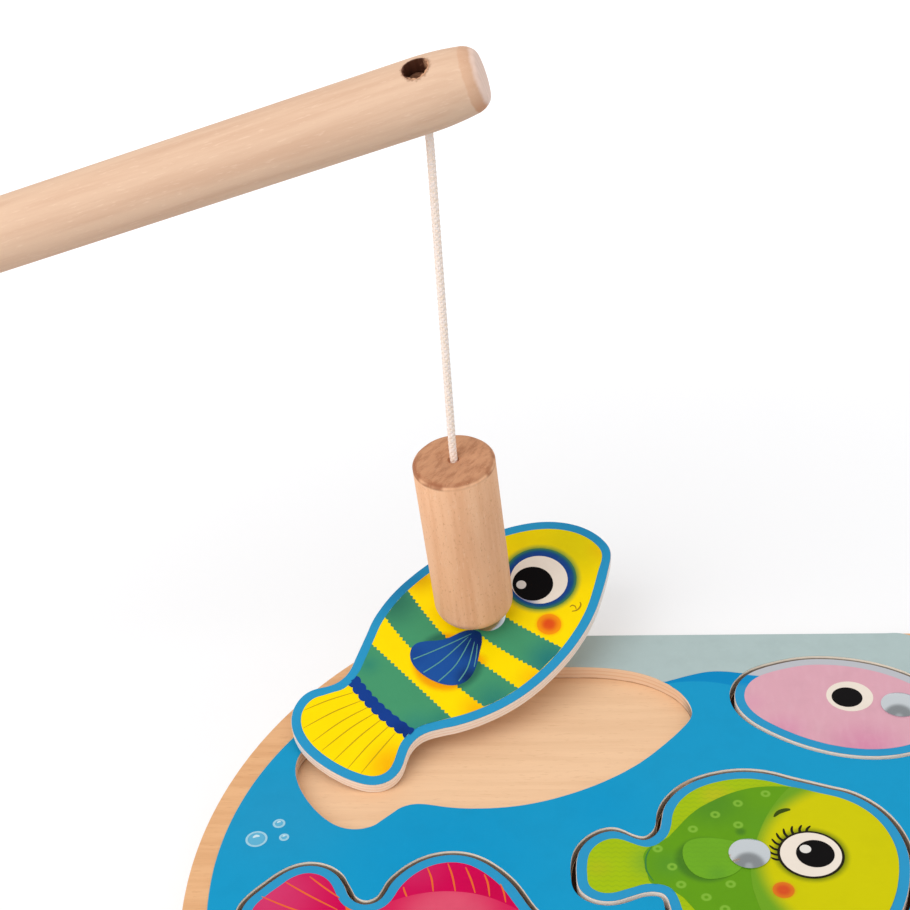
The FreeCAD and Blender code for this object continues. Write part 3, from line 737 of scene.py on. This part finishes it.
def wavy(loops, still):
    """The loops with their edges waved, except where they run near the still loops."""
    places = [point for loop in still for point in dense(loop, STILL_STEP)]
    share, count = WAVE_CHANGE
    waved = []
    for points in (dense(loop, WAVE_STEP) for loop in loops):
        run = 0.0
        line = []
        for i, point in enumerate(points):
            before = points[i - 1]
            after = points[(i + 1) % len(points)]
            run += (point - before).length / MM
            if min((point - other).length for other in places) / MM >= STILL_GAP:
                ahead = (after - before).normalized()
                swell = WAVE_HEIGHT * math.sin(run * 2 * math.pi / WAVE_LENGTH) * (1 + share * math.sin(run * count))
                point = point + Vector((ahead.y, -ahead.x)) * swell * MM
            line.append(point)
        waved.append(line)
    return waved


# Turned shapes

# Waves of a ragged edge: how many round it, shift and share of the height
RAGGED_WAVES = ((5, 1.0, 0.5), (11, 0.0, 0.35), (17, 2.0, 0.3))


def arc(middle_radius, middle_height, radius, first, last, steps):
    """Profile points on an arc, angles in degrees from the radius outward."""
    points = []
    for i in range(steps + 1):
        angle = math.radians(first + (last - first) * i / steps)
        points.append((middle_radius + radius * math.cos(angle), middle_height + radius * math.sin(angle)))
    return points


def lathe_mesh(name, profile, sides, ring=False, ragged=0.0):
    """Turned mesh of radius and height pairs; a ring's profile closes on itself."""
    mesh = bmesh.new()
    rings = []
    for radius, height in profile:
        row = []
        for k in range(sides):
            angle = 2 * math.pi * k / sides
            wave = sum(math.sin(count * angle + shift) * share for count, shift, share in RAGGED_WAVES)
            reach = radius + ragged * wave if radius else 0.0
            row.append(mesh.verts.new(Vector((reach * math.cos(angle), reach * math.sin(angle), height)) * MM))
        rings.append(row)
    pairs = list(zip(rings, rings[1:]))
    if ring:
        pairs.append((rings[-1], rings[0]))
    for low, high in pairs:
        for k in range(sides):
            mesh.faces.new((low[k], low[(k + 1) % sides], high[(k + 1) % sides], high[k]))
    bmesh.ops.remove_doubles(mesh, verts=mesh.verts, dist=MERGE / 10)
    if not ring:
        bmesh.ops.holes_fill(mesh, edges=[edge for edge in mesh.edges if edge.is_boundary])
    bmesh.ops.recalc_face_normals(mesh, faces=mesh.faces)
    data = bpy.data.meshes.new(name)
    mesh.to_mesh(data)
    mesh.free()
    return data


def cut(data, cutters, name):
    """Mesh with other closed meshes taken out of it."""
    body = add_object(name, data)
    tools = []
    for cutter, place in cutters:
        tool = add_object(name + "_tool", cutter)
        tool.matrix_world = place
        tools.append(tool)
        step = body.modifiers.new("cut", "BOOLEAN")
        step.operation = "DIFFERENCE"
        step.solver = "EXACT"
        step.object = tool
    result = evaluated_mesh(body)
    result.name = name
    for item in [body] + tools:
        mesh = item.data
        bpy.data.objects.remove(item)
        bpy.data.meshes.remove(mesh)
    return result


def turn_to(z_axis, x_hint):
    """Turn whose z axis is the first direction and whose x axis lies near the second."""
    z = Vector(z_axis).normalized()
    x = (Vector(x_hint) - z * Vector(x_hint).dot(z)).normalized()
    return Matrix((x, z.cross(x), z)).transposed().to_4x4()


# Plywood

# Glue lines on the sides: height, half width and colour
PLY_LINES = [(1.25, 0.26, (244, 226, 214)), (2.5, 0.26, (246, 228, 216))]
BOARD_LINES = [(1.2, 0.3, (200, 160, 122)), (2.5, 0.3, (204, 166, 128)), (3.75, 0.32, (84, 56, 38)),
               (5.1, 0.22, (232, 204, 172)), (6.2, 0.2, (238, 212, 182))]
FISH_PLY = ply("fish_plywood", (236, 204, 170), (228, 192, 154), (214, 174, 136), PLY_LINES, (255, 248, 242))
FLOOR_PLY = ply("recess_plywood", (244, 204, 164), (236, 194, 153), (224, 180, 138), BOARD_LINES)
BAND_PLY = ply("band_plywood", (234, 182, 133), (222, 166, 117), (208, 150, 102), BOARD_LINES,
               warm=(224, 178, 136))
# Dark plate on the floor under each kerf: char, with painted shade that darkens it.
KERF_CHAR_AND_SHADE = ink("kerf_char_and_shade", (66, 42, 28), roughness=0.8)
KERF_WIDTH = 1.1
KERF_FOOT = (-0.001, 0.03)
BORDER_INSET = 0.12

for fish, place in PLACES.items():
    blank = flat_node(fish, place, 0.0, PLY, bevel=0.15)
    dress(blank, FISH_PLY)
    if fish != "striped_fish":
        # Dark plate under the kerf round a seated fish: char with painted shade.
        char = smooth_slab(fish + "_kerf_foot", cap_loops(fish, place), *KERF_FOOT, place, inset=-KERF_WIDTH)
        dress(char, KERF_CHAR_AND_SHADE)
    for kind in sorted(PRINTS[fish], key=lambda kind: kind + "_print"):
        node = "%s_%s_print" % (fish, kind)
        heights = [(place.inverted() @ vert.co).z / MM for vert in nodes[node].data.vertices]
        loops = cap_loops(node, place)
        if kind == "bands":
            loops = wavy(loops, cap_loops(fish + "_body_print", place))
        inset = BORDER_INSET if kind == "border" else 0.0
        piece = smooth_slab(node + "_plate", loops, min(heights), max(heights), place, inset=inset)
        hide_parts(node)
        dress(piece, fish_ink(fish, kind))

# Foot of the drawn lines over the fish's underside: on a body's print, and on what is printed over it
ON_BODY = 3.85
ON_TOP = 3.95
striped = PLACES["striped_fish"]
ribbons("tail_band_fill", TAIL_BAND_FILL, 3.93, striped, fish_ink("striped_fish", "tail_band"), 0.03)
ribbons("tail_rays", TAIL_RAYS, ON_BODY, striped, ink("tail_ray_ink", (196, 164, 18)))
ribbons("fin_rays", FIN_RAYS, ON_TOP, striped, ink("fin_ray_ink", (92, 158, 150)))
ribbons("mouth_line", MOUTH, ON_BODY, striped, ink("mouth_ink", (176, 138, 22)))
ribbons("eye_lashes", lashes(), ON_TOP, SEATED, ink("lash_ink", (30, 28, 14)), 0.03)
ribbons("brow_line", BROW, ON_TOP, SEATED, ink("brow_ink", (58, 76, 14)))
ribbons("green_tail_line", GREEN_TAIL_LINE, 3.9, SEATED, ink("tail_line_ink", (62, 128, 62)))
ribbons("magenta_rays", MAGENTA_LINES, ON_BODY, SEATED, ink("magenta_ray_ink", (232, 106, 44)))

# Board

PRINT_TOP = BOARD_TOP + 0.1
origin = Matrix.Identity(4)
base = flat_node("base_board", origin, 0.0, BASE_PLY, bevel=0.3, inset=0.04)
dress(base, FLOOR_PLY)
top = flat_node("top_board", origin, BASE_PLY, BOARD_TOP, bevel=0.08, inset=0.04)
dress(top, BAND_PLY)


def water_ink():
    """Blue with deeper patches, and a deep line under the crest of the wave."""
    paint = ink("water_ink", (20, 152, 200), [
        (-62, 4, 18, 22, (0, 146, 200), 0.6), (-100, 20, 14, 12, (34, 148, 194), 0.6),
        (-24, 24, 8, 10, (0, 148, 202), 0.5)])
    bow = paint.plus(paint.y, paint.times(paint.math("POWER", paint.x, 2.0), 0.02))
    crest = paint.times(paint.ramp(bow, 69.1, 69.7), paint.ramp(paint.x, -8.6, -7.2))
    paint.lay(paint.times(crest, paint.falling(paint.x, 30.0, 40.0)), (0, 136, 194))
    return paint


water = flat_node("water_print", origin, BOARD_TOP, PRINT_TOP, inset=0.03)
dress(water, water_ink())
sky = flat_node("sky_print", origin, BOARD_TOP, PRINT_TOP, inset=0.03)
dress(sky, ink("sky_ink", (176, 194, 193), [(-20, 80, 10, 12, (176, 194, 194), 0.5)], mottle=0.168))

# Bubbles: place and radius; the highlight's points are shares of the radius
BUBBLES = [((-105, 12), 2.6), ((-100.4, 17.2), 1.5), ((-98.5, 12.6), 1.2)]
BUBBLE_RIM = 0.55
BUBBLE_GLOW = 0.6
SHINE = ((-0.35, 0.15), (-0.1, 0.38), (0.25, 0.36))
bubble_paint = ink("bubble_ink", (158, 206, 224))
glow_paint = ink("bubble_glow_ink", (96, 178, 212))
for i, ((x, y), radius) in enumerate(BUBBLES):
    place = Matrix.Translation(metres((x, y, PRINT_TOP)))
    inner = radius - BUBBLE_RIM
    ring = lathe_mesh("bubble_ring_%d" % i, [(inner, 0), (radius, 0), (radius, 0.05), (inner, 0.05)], 48, ring=True)
    smooth(ring)
    piece = link("bubble_ring_%d" % i, ring, place)
    dress(piece, bubble_paint)
    if i == 0:
        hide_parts("bubble_print")
    reach = radius - BUBBLE_GLOW
    disc = lathe_mesh("bubble_glow_%d" % i, [(0, 0), (reach, 0), (reach, 0.02), (0, 0.02)], 40)
    smooth(disc)
    glow = link("bubble_glow_%d" % i, disc, place)
    dress(glow, glow_paint)
    shine = [(across * radius, along * radius) for across, along in SHINE]
    ribbons("bubble_shine_%d" % i, [(shine, 0.1, 0.3 * radius, 0.1)], 0.02, place,
            ink("bubble_shine_ink_%d" % i, (206, 230, 238)))

# Steel


def steel_paint(name, base, on_node=False):
    paint = Paint(name, base, 0.12, on_node, Metallic=1.0)
    paint.lay(paint.ramp(paint.noise(0.12, 1.0), 0.35, 0.7, 0.12), (196, 204, 210))
    paint.join(paint.ramp(paint.noise(0.2, 1.0), 0.3, 0.7, 0.15, 0.1), paint.shader.inputs["Roughness"])
    return paint


def tack_mesh(name):
    """Domed head on its square pin; the seat is at height 0."""
    rise = TACK_DOME - TACK_RIM
    cap = (TACK_RADIUS ** 2 + rise ** 2) / (2 * rise)
    spread = math.degrees(math.asin(TACK_RADIUS / cap))
    profile = [(0, 0), (TACK_RADIUS - TACK_EDGE, 0), (TACK_RADIUS, TACK_EDGE)]
    profile += arc(0, TACK_DOME - cap, cap, 90 - spread, 90, 12)
    profile[-1] = (0, profile[-1][1])
    head = lathe_mesh(name, profile, 64)
    shape = bmesh.new()
    shape.from_mesh(head)
    pin = bmesh.ops.create_cube(shape, size=1.0)["verts"]
    bmesh.ops.scale(shape, vec=metres((TACK_PIN, TACK_PIN, TACK_PIN_LENGTH)), verts=pin)
    bmesh.ops.translate(shape, vec=metres((0, 0, -TACK_PIN_LENGTH / 2)), verts=pin)
    shape.to_mesh(head)
    shape.free()
    smooth(head)
    return head


STEEL = steel_paint("tack_steel", (214, 220, 224))
for fish, ((x, y), seat) in TACKS.items():
    name = fish + "_tack_head"
    piece = link(name, tack_mesh(name), PLACES[fish] @ Matrix.Translation(metres((x, y, seat))))
    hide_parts(fish + "_tack")
    dress(piece, STEEL)
dress_node("magnet", steel_paint("magnet_steel", (150, 152, 156), True))

# Magnet holder

END_GRAIN_TURN = 55


def holder_mesh():
    top = HOLDER_LENGTH
    roof = top - HOLDER_CROWN
    edge = HOLDER_RADIUS - HOLDER_CHAMFER
    profile = [(HOLDER_CHAMBER, roof), (HOLDER_CHAMBER, 0)]
    profile += arc(HOLDER_RADIUS - HOLDER_FOOT_ROUND, HOLDER_FOOT_ROUND, HOLDER_FOOT_ROUND, -90, 0, 14)
    profile += [(HOLDER_RADIUS, height) for height in (16, 32, top - HOLDER_CHAMFER - EDGE_EASE)]
    profile += [(HOLDER_RADIUS - EDGE_ROUND, top - HOLDER_CHAMFER), (edge + EDGE_ROUND, top - EDGE_ROUND),
                (edge - EDGE_EASE, top), (HOLDER_BORE + BORE_EASE, top), (HOLDER_BORE, top - BORE_EASE),
                (HOLDER_BORE, roof)]
    mesh = lathe_mesh("magnet_holder_body", profile, 128, ring=True)
    smooth(mesh, 50)
    return mesh


def holder_wood():
    """Beech with pores, end grain on the top and a singed edge round it."""
    paint = wood("holder_beech", (250, 196, 154), (238, 178, 134), (252, 206, 168), TURNED_GRAIN)
    blotch = paint.noise(0.42, 4.0, 0.6, paint.mapped((1.6, 0.6, 1.0), END_GRAIN_TURN))
    scratch = paint.noise(1.6, 3.0, 0.6, paint.mapped((3.3, 0.5, 1.0), END_GRAIN_TURN))
    end_wood = paint.mix(paint.ramp(blotch, 0.4, 0.68, 0.8), (202, 146, 108), (170, 114, 80))
    end_wood = paint.mix(paint.ramp(scratch, 0.55, 0.72, 0.5), end_wood, (216, 166, 128))
    paint.lay(paint.ramp(paint.z, HOLDER_LENGTH - 0.9, HOLDER_LENGTH - 0.5), end_wood)
    char = paint.times(paint.ramp(paint.distance(0.0, 0.0), 8.6, 9.6),
                       paint.ramp(paint.z, HOLDER_LENGTH - 1.9, HOLDER_LENGTH - 1.3))
    paint.lay(paint.times(char, paint.ramp(paint.noise(0.13, 2.0), 0.44, 0.58, 0.85, 0.15)), (158, 96, 62))
    pores = paint.noise(1.3, 2.0, vector=paint.mapped((1.8, 1.8, 0.9)))
    paint.lay(paint.ramp(pores, 0.58, 0.74, 0.7), (216, 154, 112))
    return paint


lean = Vector([math.tan(math.radians(angle)) for angle in HOLDER_LEAN] + [1]).normalized()
foot = Vector(HOLDER_TOP) - lean * HOLDER_LENGTH
holder = link("magnet_holder_body", holder_mesh(), Matrix.Translation(metres(foot)) @ turn_to(lean, (1, 0, 0)))
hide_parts("magnet_holder")
dress(holder, holder_wood())

# Rod: its z axis runs along it to the tip, and the cord leaves on the side of -x

hole_lean = math.radians(ROD_HOLE_LEAN)


def rod_place():
    heading, rise, turn = map(math.radians, (ROD_HEADING, ROD_RISE, ROD_HOLE_TURN))
    up = Vector((0, 0, 1))
    level = Vector((math.cos(heading), math.sin(heading), 0))
    along = level * math.cos(rise) + up * math.sin(rise)
    across = up * math.cos(rise) - level * math.sin(rise)
    square = across * math.cos(turn) + along.cross(across) * math.sin(turn)
    start = Vector(ROD_EXIT) + square * ROD_RADIUS + along * (ROD_TIP_TO_HOLE - ROD_LENGTH)
    return Matrix.Translation(metres(start)) @ turn_to(along, square)


def rod_mesh():
    """Round bar that narrows to a rounded tip, with a thin bore for the cord and a wide one for its knot."""
    side = ROD_RADIUS - ROD_EASE
    sill = ROD_CHAMFER + 0.15
    body = ROD_BODY_END - ROD_CHAMFER - 0.4
    profile = [(0, ROD_BUTT), (ROD_RADIUS - ROD_CHAMFER, ROD_BUTT),
               (ROD_RADIUS - 0.5 * ROD_CHAMFER, 0.36 * ROD_CHAMFER), (ROD_RADIUS - 0.04, ROD_CHAMFER)]
    profile += [(side, sill + body * i / 12) for i in range(13)]
    for depth in [19.6 - 0.4 * i for i in range(43)]:
        profile.append((side - max(0.0, ROD_NARROWS - depth) ** 2 / ROD_NARROWING, ROD_LENGTH - depth))
    profile += [(radius, ROD_LENGTH - depth) for radius, depth in ROD_TIP]
    bore = Vector((math.cos(hole_lean), 0, math.sin(hole_lean)))
    bore_turn = turn_to(bore, (0, 1, 0))
    way_out = Vector((-ROD_RADIUS, 0, ROD_LENGTH - ROD_TIP_TO_HOLE))
    step = way_out + bore * (2 * ROD_RADIUS / math.cos(hole_lean) - ROD_KNOT_DEPTH)
    thin = lathe_mesh("thin", [(0, 0), (ROD_CORD_BORE, 0), (ROD_CORD_BORE, 30), (0, 30)], 48)
    wide = lathe_mesh("wide", [(0, 0), (ROD_KNOT_BORE, 0), (ROD_KNOT_BORE, ROD_KNOT_DEPTH - 1.2),
                               (ROD_KNOT_BORE + 0.1, 14), (0, 14)], 96, ragged=0.2)
    mesh = cut(lathe_mesh("rod_blank", profile, 160), [
        (thin, Matrix.Translation(metres(way_out - bore * 6)) @ bore_turn),
        (wide, Matrix.Translation(metres(step)) @ bore_turn)], "rod_body")
    smooth(mesh, 32)
    return mesh


def rod_wood():
    """Beech with a darker edge at the tip, deepened on the underside by painted shade; growth rings on the end face,
    painted lighter as painted light; a darker ragged rim round the hole; painted light and shade on the walls inside
    the bores.
    """
    paint = wood("rod_beech", (228, 192, 163), (216, 176, 147), (238, 206, 180), TURNED_GRAIN)
    edge = paint.plus(paint.z, paint.times(paint.noise(0.5), 0.9))
    # A darker edge at the tip; painted shade deepens it on the underside, the side of -x.
    darker_tip_edge = paint.ramp(edge, ROD_LENGTH - ROD_CHAMFER - 0.3, ROD_LENGTH - ROD_CHAMFER + 0.2)
    paint.lay(paint.times(darker_tip_edge, paint.ramp(paint.x, -6.0, 3.0, 0.3, 0.85)), (204, 140, 98))
    # End face: growth rings, painted lighter than the side wood as painted light, since little light falls on it.
    growth = paint.math("SINE", paint.times(paint.distance(3.0, 14.0), 2.6))
    end_wood = paint.mix(paint.ramp(growth, -0.5, 1.0, 0.4), (242, 212, 196), (228, 196, 178))
    paint.lay(paint.ramp(edge, ROD_LENGTH - 0.9, ROD_LENGTH + 0.1), end_wood)
    across = paint.plus(paint.times(paint.plus(paint.x, ROD_RADIUS), -math.sin(hole_lean)),
                        paint.times(paint.minus(paint.z, ROD_LENGTH - ROD_TIP_TO_HOLE), math.cos(hole_lean)))
    from_bore = paint.length(across, paint.y)
    upper = paint.ramp(paint.x, -1.0, 0.0)
    fray = paint.noise(1.1, 4.0, 0.65)
    # A darker ragged rim round the upper opening of the bore.
    darker_ragged_rim = paint.falling(paint.plus(from_bore, paint.times(fray, 2.4)), 3.9, 4.8, 0.75)
    paint.lay(paint.times(upper, darker_ragged_rim), (150, 104, 76))
    # Walls inside the bores: painted light on one side and painted shade on the other, mixed by the fray noise.
    inside = paint.most(paint.times(upper, paint.falling(from_bore, 2.92, 3.04)),
                        paint.falling(from_bore, 1.76, 1.86))
    lit = paint.plus(paint.times(paint.plus(across, paint.y), 0.14), fray)
    paint.lay(inside, paint.mix(paint.ramp(lit, 0.35, 0.85), (92, 54, 38), (206, 154, 118)))
    return paint


rod = link("rod_body", rod_mesh(), rod_place())
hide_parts("rod")
dress(rod, rod_wood())

# Cord


def cord_path():
    """Points along the cord's smooth line."""
    curve = bpy.data.curves.new("cord_route", "CURVE")
    curve.dimensions = "3D"
    curve.resolution_u = 60
    spline = curve.splines.new("NURBS")
    spline.points.add(len(CORD_POINTS) - 1)
    for point, place in zip(spline.points, CORD_POINTS):
        point.co = (*metres(place), 1.0)
    spline.order_u = 3
    spline.use_endpoint_u = True
    mesh = curve_mesh(curve)
    places = [vert.co.copy() for vert in mesh.vertices]
    bpy.data.meshes.remove(mesh)
    return places


def even(places, gap):
    """The line's points again, evenly spaced."""
    runs = [0.0]
    for a, b in zip(places, places[1:]):
        runs.append(runs[-1] + (b - a).length)
    count = round(runs[-1] / gap)
    line = []
    k = 0
    for i in range(count + 1):
        run = runs[-1] * i / count
        while k < len(runs) - 2 and runs[k + 1] < run:
            k += 1
        line.append(places[k].lerp(places[k + 1], (run - runs[k]) / (runs[k + 1] - runs[k])))
    return line


STRANDS = 4
STRAND_RADIUS = 0.5
STRAND_SWING = 0.47
STRAND_WEAVE = 0.05
STRAND_PITCH = 5.2
STRAND_SIDES = 8
STRAND_STEP = 0.4


def make_cord():
    """Braided cord: strands that run round both ways and pass over and under each other."""
    path = cord_path()
    line = even(path, STRAND_STEP * MM)
    verts = []
    faces = []
    side = Vector((1, 0, 0))
    frames = []
    for i, point in enumerate(line):
        ahead = direction(line, i)
        side = (side - ahead * side.dot(ahead)).normalized()
        frames.append((point, side.copy(), ahead.cross(side)))
    for way in (1, -1):
        for strand in range(STRANDS):
            start = len(verts)
            for i, (point, right, up) in enumerate(frames):
                turn = 2 * math.pi * (i * STRAND_STEP / STRAND_PITCH + strand / STRANDS)
                swing = STRAND_SWING + STRAND_WEAVE * way * math.sin(turn * STRANDS)
                axis = point + (right * math.cos(way * turn) + up * math.sin(way * turn)) * swing * MM
                for k in range(STRAND_SIDES):
                    angle = 2 * math.pi * k / STRAND_SIDES
                    verts.append(axis + (right * math.cos(angle) + up * math.sin(angle)) * STRAND_RADIUS * MM)
            faces += tube_faces(start, len(frames), STRAND_SIDES)
    mesh = bpy.data.meshes.new("cord_braid")
    mesh.from_pydata(verts, [], faces)
    smooth(mesh, 60)
    cord = link("cord_braid", mesh)
    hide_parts("cord")
    return cord


def fibre(name, base, light, dark, roughness, shine, on_node=True):
    """Cotton with lighter and darker tufts."""
    paint = Paint(name, base, roughness, on_node, Specular_IOR_Level=shine)
    tufts = paint.noise(2.2, vector=None if on_node else paint.mapped((1, 1, 0.5)))
    paint.colour(paint.mix(paint.ramp(tufts, 0.35, 0.65, 0.8), light, dark))
    return paint


COTTON = ((244, 226, 210), (255, 240, 232), (252, 230, 208), 0.85, 0.1)
# The upper knot's cotton is painted dark brown: painted shade, for it lies deep in the rod's bore.
SHADED_KNOT = ((122, 84, 62), (128, 88, 64), (92, 56, 40), 0.7, 0.2)
cotton = fibre("cord_cotton", *COTTON, on_node=False)
cotton.bump(cotton.noise(3.0, 2.0), 0.1, 0.05)
dress(make_cord(), cotton)
dress_node("lower_knot", fibre("knot_cotton", *COTTON))
# Painted shade: the upper knot is dark brown.
dress_node("upper_knot", fibre("shaded_knot_cotton", *SHADED_KNOT))


# Floor, light and camera

FLOOR_SIDE = 3.0
FLOOR_DROP = 0.0001
# Glow of the floor for the camera and in mirrors: near the board, and at its far end
GLOW_REACH = (0.12, 0.55)
GLOW = (0.24, 0.46)
SKY_STRENGTH = 0.78
# Sky in mirrors: strength by the height of the direction, dark overhead, with a light spot straight up
SKY_DARKENS = (0.72, 0.88)
SKY_MIRRORED = (0.84, 0.36)
SKY_SPOT = (0.98, 0.999, 0.18)
KEY_PLACE = (-0.7, -0.8, 1.15)
KEY_AIM = (-0.03, 0.03, 0.02)
KEY_SIZE = 1.3
KEY_WATTS = 9.7


def make_floor():
    mesh = bpy.data.meshes.new("floor")
    signs = ((-1, -1), (1, -1), (1, 1), (-1, 1))
    mesh.from_pydata([(x * FLOOR_SIDE, y * FLOOR_SIDE, 0) for x, y in signs], [], [(0, 1, 2, 3)])
    floor = add_object("floor", mesh)
    floor.location.z = -FLOOR_DROP
    paint = Paint("floor", (0.75, 0.75, 0.76, 1.0), 0.9, True, Specular_IOR_Level=0.0, Emission_Color=(1, 1, 1, 1))
    away = paint.node("VectorMath", {0: paint.node("TexCoord").outputs["Object"]}, operation="LENGTH")
    path = paint.node("LightPath")
    seen = paint.most(path.outputs["Is Camera Ray"], path.outputs["Is Glossy Ray"])
    seen = paint.most(seen, path.outputs["Is Transmission Ray"])
    near, far = GLOW
    glow = paint.ramp(away.outputs["Value"], *GLOW_REACH, far, near)
    paint.join(paint.times(seen, glow), paint.shader.inputs["Emission Strength"])
    dress(floor, paint)


def make_world():
    world = bpy.data.worlds.new("studio")
    bpy.context.scene.world = world
    world.use_nodes = True
    tree = Tree(world.node_tree)
    background = world.node_tree.nodes["Background"]
    background.inputs["Color"].default_value = (1, 1, 1, 1)
    height = tree.split(tree.node("TexCoord").outputs["Generated"])[2]
    path = tree.node("LightPath")
    low, high = SKY_MIRRORED
    mirrored = tree.plus(tree.ramp(height, *SKY_DARKENS, high, low), tree.ramp(height, *SKY_SPOT))
    change = tree.times(path.outputs["Is Glossy Ray"], tree.minus(mirrored, SKY_STRENGTH))
    direct = tree.most(path.outputs["Is Camera Ray"], path.outputs["Is Transmission Ray"])
    strength = tree.most(direct, tree.plus(change, SKY_STRENGTH))
    tree.join(strength, background.inputs["Strength"])


def make_key():
    data = bpy.data.lights.new("key", "AREA")
    data.shape = "DISK"
    data.size = KEY_SIZE
    data.energy = KEY_WATTS
    light = add_object("key", data)
    light.location = KEY_PLACE
    light.rotation_euler = (Vector(KEY_AIM) - Vector(KEY_PLACE)).to_track_quat("-Z", "Y").to_euler()


def make_camera():
    data = bpy.data.cameras.new("camera")
    data.sensor_width = SENSOR
    data.lens = CAMERA_FOCAL / PICTURE_SIDE * SENSOR
    data.clip_start = CAMERA_NEAREST
    camera = add_object("camera", data)
    back = -Vector(CAMERA_FORWARD).normalized()
    up = back.cross(Vector(CAMERA_RIGHT)).normalized()
    right = up.cross(back)
    camera.matrix_world = Matrix.Translation(metres(CAMERA_PLACE)) @ Matrix((right, up, back)).transposed().to_4x4()
    bpy.context.scene.camera = camera


make_floor()
make_world()
make_key()
make_camera()
bpy.context.scene.view_settings.view_transform = "Standard"
